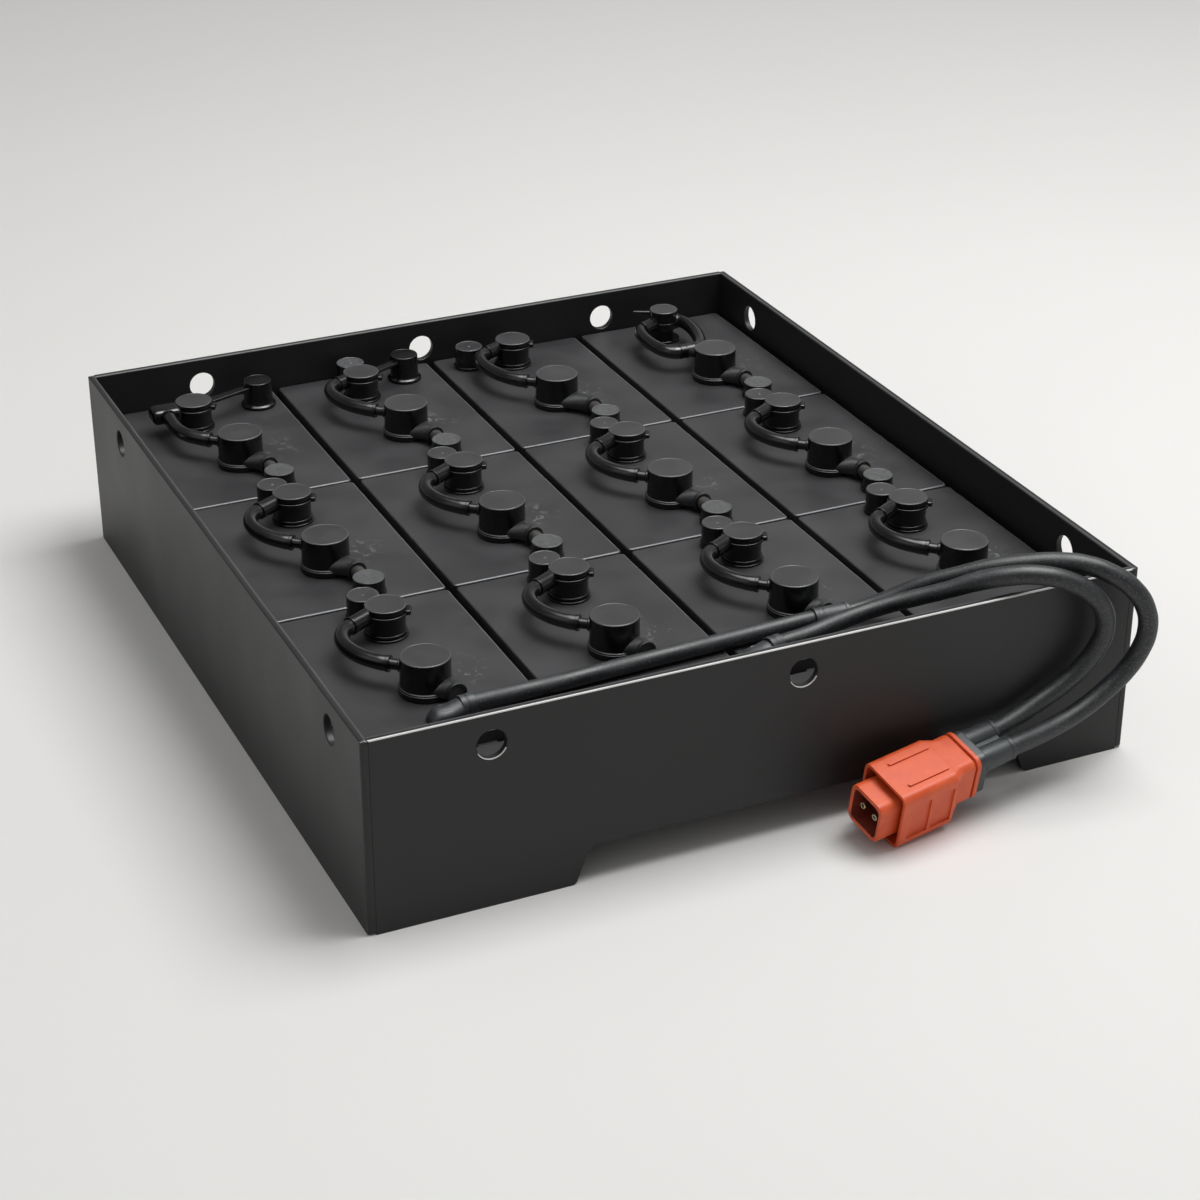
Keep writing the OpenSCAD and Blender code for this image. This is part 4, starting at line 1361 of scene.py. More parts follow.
    def build_nose(self, material: Material) -> Piece:
        """Makes the nose with its deep socket, on the wall at the bottom of the shell's gap."""
        reach, width = self.nose_reach, self.nose_w
        inside = width - 8
        shape = self.loft(
            [
                Section(-51.7, 44.4, 48.4, 3.7),
                Section(-30, 44.4, 48.4, 3.7),
                Section(-30, width, width, 8),
                Section(reach - 1.2, width, width, 8),
                Section(reach - 0.4, width - 0.5, width - 0.5, 7.8),
                Section(reach, width - 1.8, width - 1.8, 7.2),
                Section(reach, inside + 1.6, inside + 1.6, 5.6),
                Section(reach - 0.5, inside + 0.3, inside + 0.3, 5.1),
                Section(reach - 1.4, inside, inside, 5),
                Section(reach - self.socket_depth, inside, inside, 5),
            ]
        )
        # The socket's inside takes the darker orange: painted shade down in the socket
        for face in shape.faces:
            middle = face.calc_center_median()
            inner = max(abs(middle.y), abs(middle.z)) < inside / 2 + 0.1
            if inner and middle.x > reach - self.socket_depth - 1:
                face.material_index = NoseSlot.SOCKET
        piece = alone(shape, self.frame_matrix())
        materials = [material, ORANGE_SHADE.material()]
        return make_piece(piece, "plug_core", materials, ["plug_nose"])

    def build_contacts(self, material: Material) -> Piece:
        """Makes the two hollow contacts in the nose's socket."""
        piece = bmesh.new()
        bottom = self.nose_reach - self.contact_depth
        outline = [(0, 0, 0), (3, 0, 0), (3, 12, 0.6), (1.6, 12, 0.3), (1.5, 5, 0), (0, 5, 0)]
        for side in (-1, 1):
            place = Matrix.Translation((bottom, side * self.contact_pitch / 2, 0)) @ Z_TO_X
            merge(piece, turned(outline, 28), self.frame_matrix() @ place)
        return make_piece(piece, "plug_pins", [material], ["plug_contacts"])

    def build_ring(self, material: Material) -> Piece:
        """Makes the locking ring behind the groove."""
        start = -self.shell_l - 14
        rise = self.rear_rise
        shape = self.loft(
            [
                Section(start, 38, 38, 5, rise),
                Section(start - 2, 38, 38, 5, rise),
                Section(start - 2, 42, 42, 7.6, rise),
                Section(start - 2.5, 43, 43, 8, rise),
                Section(start - 5.5, 43, 43, 8, rise),
                Section(start - 6, 42, 42, 7.6, rise),
            ]
        )
        piece = alone(shape, self.frame_matrix())
        return make_piece(piece, "plug_lock", [material], ["plug_ring"])

    def build_boot(self, material: Material) -> Piece:
        """Makes the boot plate and the two joined cable sleeves with their end rims."""
        start = -self.shell_l - 20
        rise = self.rear_rise
        plate = self.loft(
            [
                Section(start, 40, 39, 8, rise),
                Section(start - 6.5, 41, 40, 8, rise),
                Section(start - 7.6, 40.2, 39.2, 7.6, rise),
                Section(start - 8, 38.5, 37.5, 7, rise),
            ]
        )
        piece = alone(plate, self.frame_matrix())
        mouth = start - 38
        for side in (-1, 1):
            sleeve = turned(
                [
                    (7.3, 0, 0),
                    (9.9, 0, 0.6),
                    (9.9, 3, 0.5),
                    (9.3, 3.6, 0),
                    (9.6, 5, 0),
                    (10.3, 28, 0),
                    (10.3, 31, 0),
                    (7.3, 31, 0),
                ],
                ring=True,
            )
            middle = Vector((mouth, side * self.boot_pitch / 2, self.boot_rise))
            merge(piece, sleeve, self.frame_matrix() @ Matrix.Translation(middle) @ Z_TO_X)
        length = 28.0
        web = soft_box(Vector((length, 4.6, 10.0)), 1.0)
        middle = Vector((mouth + 3 + length / 2, 0, self.boot_rise))
        merge(piece, web, self.frame_matrix() @ Matrix.Translation(middle))
        return make_piece(piece, "plug_sleeves", [material], ["plug_boot"])


@dataclass
class Tray:
    """The welded steel tray.

    Attributes:
        width: Its width, in millimetres.
        depth: Its depth.
        height: Its height.
        wall: Thickness of the sheet.
        rim: Radius of the rim's edges.
        rim_line: Width of the painted highlight line along the inner edge.
        seam: Radius of an end wall's edge at the weld.
        corner: Radius of the upright corners.
        rim_corner: Radius of a side wall's top corners.
        foot_corner: Radius of a side wall's foot corners.
        hole_d: Diameter of a lifting hole.
        hole_drop: Distance of the holes below the rim.
        hole_chamfer: Size of the chamfer round them.
        front_holes: Front wall's holes, from the left.
        back_holes: Back wall's holes, from the left.
        left_holes: Left wall's holes, from the front.
        right_holes: Right wall's holes, from the front.
        notch: Left foot's end, right foot's width, height and lean of the fork notch.
        notch_corner: Radius of the notch's upper corners.
        notch_foot: Radius of the feet's corners at the notch.
    """

    width: float = 660.0
    depth: float = 735.0
    height: float = 166.0
    wall: float = 6.0
    rim: float = 1.2
    rim_line: float = 2.2
    seam: float = 0.8
    corner: float = 2.5
    rim_corner: float = 3.0
    foot_corner: float = 4.5
    hole_d: float = 24.0
    hole_drop: float = 26.0
    hole_chamfer: float = 0.7
    front_holes: tuple[float, ...] = (101.0, 358.0)
    back_holes: tuple[float, ...] = (107.0, 328.0, 521.0)
    left_holes: tuple[float, ...] = (69.0, 630.0)
    right_holes: tuple[float, ...] = (96.0, 665.0)
    notch: tuple[float, float, float, float] = (167.0, 95.0, 32.0, 12.0)
    notch_corner: float = 8.0
    notch_foot: float = 5.0

    def build(self) -> None:
        """Makes the four walls and dresses the floor plate."""
        front, back = self.end_wall(self.front_holes), self.end_wall(self.back_holes)
        left, right = self.side_wall(self.left_holes), self.side_wall(self.right_holes)
        # bright and dull are the painted highlight lines along the rims: near white, and a dimmer
        # grey
        coat, bright, dull = (skin.material() for skin in (POWDER_COAT, RIM_HIGHLIGHT, RIM_DIM_HIGHLIGHT))
        corner = Matrix.Translation((-self.width / 2, -self.depth / 2, 0))
        flip_y = Matrix.Translation((0, self.depth, 0)) @ Matrix.Diagonal((1, -1, 1, 1))
        flip_x = Matrix.Translation((self.width, 0, 0)) @ Matrix.Diagonal((-1, 1, 1, 1))
        for shape, axis, place, edge, name, node in (
            (front, 1, corner, bright, "wall_front", "tray_front_wall"),
            (back, 1, corner @ flip_y, dull, "wall_back", "tray_back_wall"),
            (left, 0, corner, coat, "wall_left", "tray_left_wall"),
            (right, 0, corner @ flip_x, coat, "wall_right", "tray_right_wall"),
        ):
            self.line_rim(shape, axis)
            make_piece(alone(shape, place), name, [coat, edge, dull], [node])
        dress("tray_floor", coat)

    def line_rim(self, shape: Shape, axis: int) -> None:
        """Gives the outer and inner edge of a wall's top their painted highlight lines.

        Args:
            shape: The wall, its outside at 0 on the axis.
            axis: 0 for a side wall, 1 for an end wall.
        """
        across = Vector((1 - axis, axis, 0))
        start = self.wall - self.rim_line
        parts = [*shape.verts, *shape.edges, *shape.faces]
        bmesh.ops.bisect_plane(
            shape, geom=parts, dist=1e-5, plane_co=across * start, plane_no=across
        )
        for face in shape.faces:
            middle = face.calc_center_median()
            outer = middle[axis] < self.rim
            if middle.z > self.height - self.rim:
                if middle[axis] > start:
                    face.material_index = WallSlot.INNER
                elif outer:
                    face.material_index = WallSlot.OUTER
            elif face.normal.z > 0.3 and middle.z > self.height / 2 and outer:
                # The lower half of a lifting hole's chamfer looks up at the lamps, and gets the
                # painted highlight too
                face.material_index = WallSlot.OUTER

    def rim_bar(self, length: float) -> Shape:
        """Makes a sheet standing along Y from the origin, its rim's edges rounded."""
        top = self.height
        shape = prism(
            [(0, 0, 0), (self.wall, 0, 0), (self.wall, top, self.rim), (0, top, self.rim)], length
        )
        return placed(shape, Matrix.Translation((0, length, 0)) @ Y_TO_Z)

    def hole(self) -> Shape:
        """Makes the cutter of a lifting hole along Z, with its chamfers, for a sheet on Z = 0."""
        radius, bevel = self.hole_d / 2, self.hole_chamfer
        return turned(
            [
                (0, -1, 0),
                (radius + bevel + 1, -1, 0),
                (radius, bevel, 0),
                (radius, self.wall - bevel, 0),
                (radius + bevel + 1, self.wall + 1, 0),
                (0, self.wall + 1, 0),
            ],
            steps=56,
        )

    def side_wall(self, holes: Sequence[float]) -> Shape:
        """Makes a side wall standing along Y, its outside at X = 0.

        Args:
            holes: The lifting holes, from the front.

        Returns:
            The wall.
        """
        depth, wall, top = self.depth, self.wall, self.height
        profile = prism(
            [
                (0, 0, self.foot_corner),
                (depth, 0, self.foot_corner),
                (depth, top, self.rim_corner),
                (0, top, self.rim_corner),
            ],
            wall,
        )
        # The outline's X runs along Y, its Y upwards and its thickness along X
        placed(profile, Matrix(((0, 0, 1, 0), (1, 0, 0, 0), (0, 1, 0, 0), (0, 0, 0, 1))))
        round_l = self.corner
        plan = prism([(0, 0, round_l), (wall, 0, 0), (wall, depth, 0), (0, depth, round_l)], top)
        solid = carved(profile, [plan, self.rim_bar(depth)], Cut.SHARED)
        height = top - self.hole_drop
        cutters = [placed(self.hole(), Matrix.Translation((0, y, height)) @ Z_TO_X) for y in holes]
        return carved(solid, cutters)

    def end_wall(self, holes: Sequence[float]) -> Shape:
        """Makes an end wall between the side walls, its outside at Y = 0.

        Args:
            holes: The lifting holes, from the left.

        Returns:
            The wall.
        """
        length = self.width - 2 * self.wall
        turn = Matrix.Translation((self.wall, self.wall, 0)) @ Matrix.Rotation(-math.pi / 2, 4, "Z")
        bar = placed(self.rim_bar(length), turn)
        plan = prism(
            [
                (self.wall, 0, self.seam),
                (self.wall + length, 0, self.seam),
                (self.wall + length, self.wall, 0),
                (self.wall, self.wall, 0),
            ],
            self.height,
        )
        solid = carved(bar, [plan], Cut.SHARED)
        left, right, high, lean = self.notch
        far = self.width - right
        slope = lean / high
        notch = prism(
            [
                (left - slope, -1, 0),
                (left + lean, high, self.notch_corner),
                (far - lean, high, self.notch_corner),
                (far + slope, -1, 0),
            ],
            self.wall + 2,
            segments=8,
        )
        placed(notch, Matrix.Translation((0, self.wall + 1, 0)) @ Y_TO_Z)
        cutters = [notch, *self.notch_feet(slope)]
        for x in holes:
            place = Matrix.Translation((x, self.wall, self.height - self.hole_drop))
            cutters.append(placed(self.hole(), place @ Y_TO_Z))
        return carved(solid, cutters)

    def notch_feet(self, slope: float) -> list[Shape]:
        """Makes the cutters that round the two feet at the notch.

        Args:
            slope: How far the notch's sides lean in for each millimetre of height.

        Returns:
            The cutters, upright in the front wall.
        """
        left, right = self.notch[0], self.width - self.notch[1]
        radius = self.notch_foot
        angle = math.atan2(1, slope)
        reach = radius / math.tan((math.pi - angle) / 2)
        cutters = []
        steps = 6
        arc = [
            (-reach + radius * math.sin(turn), radius - radius * math.cos(turn))
            for turn in (k * angle / steps for k in range(steps + 1))
        ]
        outline = [(-reach, -1), *arc, (1, 0), (1, -1)]
        for corner, side in ((left, 1), (right, -1)):
            cutter = prism([(corner + side * x, y, 0) for x, y in outline], self.wall + 2)
            cutters.append(placed(cutter, Matrix.Translation((0, self.wall + 1, 0)) @ Y_TO_Z))
        return cutters


def dress(node: str, material: Material) -> None:
    """Gives a CAD node that stays on show its finish."""
    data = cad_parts[node].data
    data.materials.clear()
    data.materials.append(material)


@dataclass
class Cells:
    """The twelve cell cases.

    Attributes:
        corner: Radius of the upright corners, in millimetres.
        edge: Radius of the edge round the lid.
        edge_highlight: Width of the painted highlight strip inside the lid's rounded front edge.
        side_gap: How far a case stands back from its limits beside it.
        rear_gap: How far it stands back from its rear limit.
    """

    corner: float = 4.0
    edge: float = 1.5
    edge_highlight: float = 0.4
    side_gap: float = 1.3
    rear_gap: float = 0.8

    def build(self) -> None:
        """Makes each case as a rounded box where its node stands."""
        # rubbed is the painted highlight that the lids' front and right edges take
        lid, edge_highlight = LID.material(), LID_EDGE_HIGHLIGHT.material()
        for cell in range(CELLS):
            low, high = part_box(f"cell_{cell + 1}")
            low = low / MM + Vector((self.side_gap, 0, 0))
            high = high / MM - Vector((self.side_gap, self.rear_gap, 0))
            shape = prism(
                [
                    (low.x, low.y, self.corner),
                    (high.x, low.y, self.corner),
                    (high.x, high.y, self.corner),
                    (low.x, high.y, self.corner),
                ],
                high.z - low.z,
                segments=6,
            )
            bmesh.ops.translate(shape, vec=(0, 0, low.z), verts=shape.verts)
            rim = [
                edge for edge in shape.edges if all(vert.co.z > high.z - 0.1 for vert in edge.verts)
            ]
            soften(shape, rim, self.edge, Part.EDGE, 4)
            self.paint_edge_highlight(shape, low, high)
            number = cell + 1
            make_piece(
                alone(shape), f"case_{number}", [lid, edge_highlight], [f"cell_{number}"]
            )

    def paint_edge_highlight(self, shape: Shape, low: Vector, high: Vector) -> None:
        """Gives the front and right edges of a lid their painted highlight.

        Args:
            shape: The case.
            low: Its left, front and lower limits.
            high: Its right, rear and top limits.
        """
        top = max(shape.faces, key=lambda face: face.calc_center_median().z)
        bmesh.ops.inset_region(shape, faces=[top], thickness=self.edge_highlight, use_even_offset=True)
        for face in shape.faces:
            middle = face.calc_center_median()
            front = middle.y < low.y + self.edge + self.edge_highlight
            right = middle.x > high.x - self.edge
            # The front and right edge faces take the painted highlight
            if face != top and face.normal.z > 0.5 and (front or right):
                face.material_index = LidSlot.EDGE_HIGHLIGHT


@dataclass
class FloatValves:
    """The tall round caps with flange, ear, collar and spigot.

    Attributes:
        radius: Radius of the cap, in millimetres.
        height: Its height.
        flange_r: Radius of the flange.
        flange_h: Height of the flange.
        spigot_turn: Direction of the spigot, in degrees from the right.
        spigot_reach: Distance of its end from the valve's middle.
        collar_r: Radius of the ear's collar.
        collar_l: Length of the ear's collar.
        saddle: Half width, half height and middle height of the ear's saddle where it starts.
        saddle_start: Distance of that start from the valve's middle.
        tee: Middle of the tee on the last cell, from its front edge.
        tee_turn: Direction of the tee, in degrees from the right.
        tee_half: Half of the tee's length.
        ring_r: Radius of the tee and of the ring at a spigot's end.
    """

    radius: float = 20.0
    height: float = 31.5
    flange_r: float = 21.5
    flange_h: float = 7.0
    spigot_turn: float = 139.0
    spigot_reach: float = 31.5
    collar_r: float = 8.6
    collar_l: float = 6.0
    saddle: Corner = (15.0, 7.6, 7.7)
    saddle_start: float = 7.0
    tee: Spot = (-18.0, 104.0)
    tee_turn: float = 2.0
    tee_half: float = 8.0
    ring_r: float = 6.9

    def build(self, layout: Layout) -> None:
        """Makes the valves.

        Args:
            layout: Where things stand on the cells.
        """
        finishes = [finish.material() for finish in (CAP, EAR, BARREL, CAP_LIT_TOP, CAP_RIM_HIGHLIGHT)]
        for cell in range(CELLS):
            body = top_off(self.body(), self.height, ValveSlot.TOP, ValveSlot.RIM)
            piece = alone(body, Matrix.Translation(layout.valve_at(cell)))
            self.add_spigot(piece, layout, cell)
            self.add_ear(piece, layout, cell)
            number = cell + 1
            nodes = [f"float_valve_{number}"]
            make_piece(piece, f"valve_{number}", finishes, nodes)

    def body(self) -> Shape:
        """Makes the cap and its flange, with a painted highlight line round the flange's lip."""
        shape = turned(
            [
                (0, 0, 0),
                (self.flange_r - 0.3, 0, 0.3),
                (self.flange_r, self.flange_h - 1.6, 0.2),
                (self.flange_r - 0.35, self.flange_h - 1.3, 0),
                (self.flange_r - 0.35, self.flange_h, 0.4),
                (self.radius + 0.1, self.flange_h, 0.4),
                (self.radius - 0.25, self.height, 0.9),
                (self.radius - 1.8, self.height, 0.2),
                (self.radius - 2.1, self.height - 0.2, 0),
                (0, self.height - 0.2, 0),
            ],
            steps=72,
        )
        # The flange's lip takes the rim's painted highlight
        lip, reach = self.flange_h - 0.8, 1.0
        for face in shape.faces:
            if face.normal.z > 0.2 and abs(face.calc_center_median().z - lip) < reach:
                face.material_index = ValveSlot.RIM
        return shape

    def add_spigot(self, piece: Shape, layout: Layout, cell: int) -> None:
        """Adds the spigot towards the hose, with its ferrule ring, or the tee on the last cell."""
        middle = layout.valve_at(cell) + Vector((0, 0, layout.hose_z))
        ring, half = self.ring_r, self.tee_half
        if cell == LAST_CELL:
            tee = layout.on_cell(cell, self.tee, layout.hose_z)
            reach = (tee - middle).length
            way = (tee - middle).normalized()
            bar = turned([(0, -half, 0), (ring, -half, 0.5), (ring, half, 0.5), (0, half, 0)], 32)
            merge(piece, bar, aimed(tee, heading(self.tee_turn)))
        else:
            reach = self.spigot_reach
            way = heading(self.spigot_turn)
        spigot = turned(
            [
                (0, 0, 0),
                (5.6, 0, 0),
                (5.6, 21.2, 0.5),
                (4.4, 21.6, 0.2),
                (4.4, reach - 3, 0),
                (ring, reach - 3, 0.5),
                (ring, reach, 0.4),
                (0, reach, 0),
            ],
            32,
        )
        merge(piece, spigot, aimed(middle, way))

    def add_ear(self, piece: Shape, layout: Layout, cell: int) -> None:
        """Adds the saddle from the flange to the collar that holds the front cap's stub.

        Args:
            piece: The piece that they join.
            layout: Where things stand on the cells.
            cell: The valve's cell. In the front row no cap has a stub, and a stop fills the collar.
        """
        middle = layout.valve_at(cell)
        collar = layout.collar_at(cell)
        way = collar - middle
        reach = way.length
        way.normalize()
        rings = []
        steps = 8
        stop = (self.collar_r - 0.3, self.collar_r - 0.3, self.collar_r)
        for k in range(steps + 1):
            t = k / steps
            ease = t * t * (3 - 2 * t)
            half_w, half_h, rise = (
                first + (last - first) * ease for first, last in zip(self.saddle, stop)
            )
            along = self.saddle_start + (reach - self.saddle_start) * t
            rings.append(oval(middle + way * along + Vector((0, 0, rise)), way, half_w, half_h))
        merge(piece, lofted(rings, 32), finish=ValveSlot.EAR)
        pole = layout.on_cell(cell, layout.front_pole)
        ring = turned(
            [
                (6.4, -1.5, 0),
                (self.collar_r - 0.5, -1.5, 0.4),
                (self.collar_r - 0.5, self.collar_l - 1.6, 0),
                (self.collar_r, self.collar_l - 1.4, 0.3),
                (self.collar_r, self.collar_l, 0.4),
                (6.4, self.collar_l, 0.2),
            ],
            32,
            ring=True,
        )
        place = aimed(collar + Vector((0, 0, self.collar_r)), pole - collar)
        merge(piece, ring, place, finish=ValveSlot.EAR)
        if cell < COLUMNS:
            end = self.collar_l - 0.8
            plug = turned([(0, -1, 0), (6.6, -1, 0), (6.6, end, 0), (0, end, 0)], 32)
            merge(piece, plug, place, finish=ValveSlot.BARREL)


@dataclass
class VentPlugs:
    """The turned vent plugs with collar, tab, lid and hose sleeve.

    Attributes:
        radius: Radius of the body, in millimetres.
        collar_r: Radius of the collar and the base ring.
        lid_r: Radius of the lid.
        height: Height of the plug.
        sleeve_r: Radius of the sleeve at its start.
        sleeve_end_r: Radius of the sleeve at its end.
        tab: Length, width and height of the thumb tab.
        tab_turn: Direction of the tab, in degrees from the right.
        right_sleeve: Start and end of the last plug's second sleeve, from the cell's rear edge.
        tall_h: Height of the last plug.
        rod_turn: Direction of its rod, in degrees from the right.
        rod_z: Height of its rod.
        elbow: Width, length and height of the ninth plug's elbow.
        elbow_reach: How far the hose's sleeve runs into it.
    """

    radius: float = 15.8
    collar_r: float = 18.0
    lid_r: float = 16.8
    height: float = 27.0
    sleeve_r: float = 7.1
    sleeve_end_r: float = 6.9
    tab: Corner = (5.0, 11.0, 4.4)
    tab_turn: float = -25.0
    right_sleeve: tuple[Spot, Spot] = ((-1.0, 44.0), (9.0, 50.0))
    tall_h: float = 32.0
    rod_turn: float = 150.0
    rod_z: float = 27.0
    elbow: Corner = (28.0, 22.0, 14.0)
    elbow_reach: float = 8.0

    def build(self, layout: Layout) -> None:
        """Makes the plugs.

        Args:
            layout: Where things stand on the cells.
        """
        finishes = [finish.material() for finish in (CAP, CAP_LIT_TOP, CAP_RIM_HIGHLIGHT)]
        for cell in range(CELLS):
            piece = bmesh.new()
            place = Matrix.Translation(layout.vent_at(cell))
            start, stop = layout.sleeve(cell)
            if cell == LAST_CELL:
                self.add_tall_body(piece, place)
                self.add_sleeve(piece, start, stop)
                self.add_sleeve(piece, *self.second_sleeve(layout))
            elif cell == ELBOW_CELL:
                self.add_body(piece, place)
                middle = stop + Vector((0, self.elbow[1] / 2, 0))
                merge(piece, soft_box(Vector(self.elbow), 5.0, 5), Matrix.Translation(middle))
                self.add_sleeve(piece, stop + Vector((0, self.elbow_reach, 0)), stop)
            else:
                self.add_body(piece, place)
                self.add_sleeve(piece, start, stop)
            number = cell + 1
            nodes = [f"vent_plug_{number}"]
            make_piece(piece, f"vent_{number}", finishes, nodes)

    def second_sleeve(self, layout: Layout) -> tuple[Vector, Vector]:
        """Returns the start and end of the last plug's second sleeve."""
        start, stop = (
            layout.from_rear(LAST_CELL, spot, layout.hose_z) for spot in self.right_sleeve
        )
        return start, stop

    def add_body(self, piece: Shape, place: Matrix) -> None:
        """Adds base ring, gasket, body, collar with its thumb tab, and lid."""
        body = turned(
            [
                (0, 0, 0),
                (self.collar_r, 0, 0.3),
                (self.collar_r, 2, 0.6),
                (self.radius + 0.2, 2.2, 0),
                (self.radius + 0.2, 2.9, 0),
                (self.radius + 1, 3.1, 0.3),
                (self.radius + 1, 5, 0.5),
                (self.radius, 5.2, 0),
                (self.radius, 18.8, 0.2),
                (self.collar_r, 19, 0.5),
                (self.collar_r, 21.5, 0.6),
                (self.lid_r - 1.2, 21.6, 0),
                (self.lid_r - 1.2, 22.2, 0),
                (self.lid_r, 22.4, 0.3),
                (self.lid_r - 0.1, self.height, 0.8),
                (self.lid_r - 1.6, self.height, 0.1),
                (self.lid_r - 1.9, self.height - 0.2, 0),
                (0, self.height - 0.2, 0),
            ],
            steps=64,
        )
        merge(piece, top_off(body, self.height, VentSlot.TOP, VentSlot.RIM), place)
        turn = Matrix.Rotation(math.radians(self.tab_turn), 4, "Z")
        middle = Matrix.Translation((self.collar_r, 0, 21.0))
        merge(piece, soft_box(Vector(self.tab), 1.4, 4), place @ turn @ middle)

    def add_tall_body(self, piece: Shape, place: Matrix) -> None:
        """Adds the last cell's plug: base disc, six-sided neck, tall head and rod."""
        merge(piece, turned([(0, 0, 0), (16, 0, 0.3), (16, 2.5, 0.6), (0, 2.5, 0)], 56), place)
        merge(piece, turned([(0, 0, 0), (11.5, 0, 0), (11.5, 19, 0), (0, 19, 0)], 6), place)
        head = turned(
            [
                (0, 13, 0),
                (13.4, 13, 0.6),
                (14, 14, 0.3),
                (14, 20, 0.2),
                (13.7, 20.3, 0),
                (13.7, self.tall_h, 0.9),
                (12.2, self.tall_h, 0.1),
                (11.9, self.tall_h - 0.2, 0),
                (0, self.tall_h - 0.2, 0),
            ],
            56,
        )
        merge(piece, top_off(head, self.tall_h, VentSlot.TOP, VentSlot.RIM), place)
        rod = turned([(0, 0, 0), (2.6, 0, 0), (1.6, 30, 0.5), (0, 30, 0)], 20)
        turn = Matrix.Rotation(math.radians(self.rod_turn), 4, "Z") @ Z_TO_X
        merge(piece, rod, place @ Matrix.Translation((0, 0, self.rod_z)) @ turn)

    def add_sleeve(self, piece: Shape, start: Vector, stop: Vector) -> None:
        """Adds a tapered hose sleeve with a ring at its end."""
        length = (stop - start).length
        end = self.sleeve_end_r
        sleeve = turned(
            [
                (0, 0, 0),
                (self.sleeve_r, 0, 0),
                (end + 0.1, length - 2.4, 0),
                (end + 0.6, length - 2, 0.2),
                (end + 0.6, length, 0.4),
                (0, length, 0),
            ],
            32,
        )
        merge(piece, sleeve, aimed(start, stop - start))


@dataclass
class Hoses:
    """The short hoses from vent plug to valve.

    Attributes:
        radius: Radius of a hose, in millimetres.
        sleeve_pull: How far a hose keeps the sleeve's direction.
        spigot_pull: How far a hose keeps the spigot's direction.
        tall_pull: The same for the last cell's sleeves.
        tee_pulls: The same for the tee's left and right end.
        swell: How much thicker a hose gets over its last points, from its end.
    """

    radius: float = 6.3
    sleeve_pull: float = 24.0
    spigot_pull: float = 30.0
    tall_pull: float = 12.0
    tee_pulls: Spot = (20.0, 18.0)
    swell: tuple[float, ...] = (0.15, 0.3, 0.2, 0.05)

    def build(self, layout: Layout, valves: FloatValves, vents: VentPlugs) -> None:
        """Makes the hoses, one piece for each column of cells.

        Args:
            layout: Where things stand on the cells.
            valves: The valves, for their spigots.
            vents: The vent plugs, for the last cell's second sleeve.
        """
        rubber = HOSE.material()
        for column in range(COLUMNS):
            piece = bmesh.new()
            for row in range(ROWS):
                cell = row * COLUMNS + column
                start, stop = layout.sleeve(cell)
                front = Vector((0, -1, 0))
                way = front if cell == ELBOW_CELL else (stop - start).normalized()
                if cell == LAST_CELL:
                    tee = layout.on_cell(cell, valves.tee, layout.hose_z)
                    across = heading(valves.tee_turn)
                    half = across * valves.tee_half
                    first, second = vents.second_sleeve(layout)
                    pull = (second - first).normalized() * self.tall_pull
                    left, right = self.tee_pulls
                    self.add_hose(piece, stop, way * self.tall_pull, tee - half, -across * left)
                    self.add_hose(piece, second, pull, tee + half, across * right)
                else:
                    turn = heading(valves.spigot_turn)
                    valve = layout.valve_at(cell)
                    end = valve + turn * valves.spigot_reach + Vector((0, 0, layout.hose_z))
                    self.add_hose(piece, stop, way * self.sleeve_pull, end, turn * self.spigot_pull)
            number = column + 1
            nodes = [f"hoses_column_{number}"]
            make_piece(piece, f"hoses_{number}", [rubber], nodes, sharp=60.0)

    def add_hose(
        self, piece: Shape, start: Vector, first: Vector, stop: Vector, second: Vector
    ) -> None:
        """Adds one hose, a little swollen where it is pushed on.

        Args:
            piece: The piece that it joins.
            start: Its start at the sleeve.
            first: Pull at the start.
            stop: Its end at the spigot.
            second: Pull at the end.
        """
        steps = 30
        line = bezier(start, start + first, stop + second, stop, steps)
        radii = [self.radius] * (steps + 1)
        for k, swell in enumerate(self.swell):
            radii[steps - k] += swell
        merge(piece, swept(line, radii, 24))


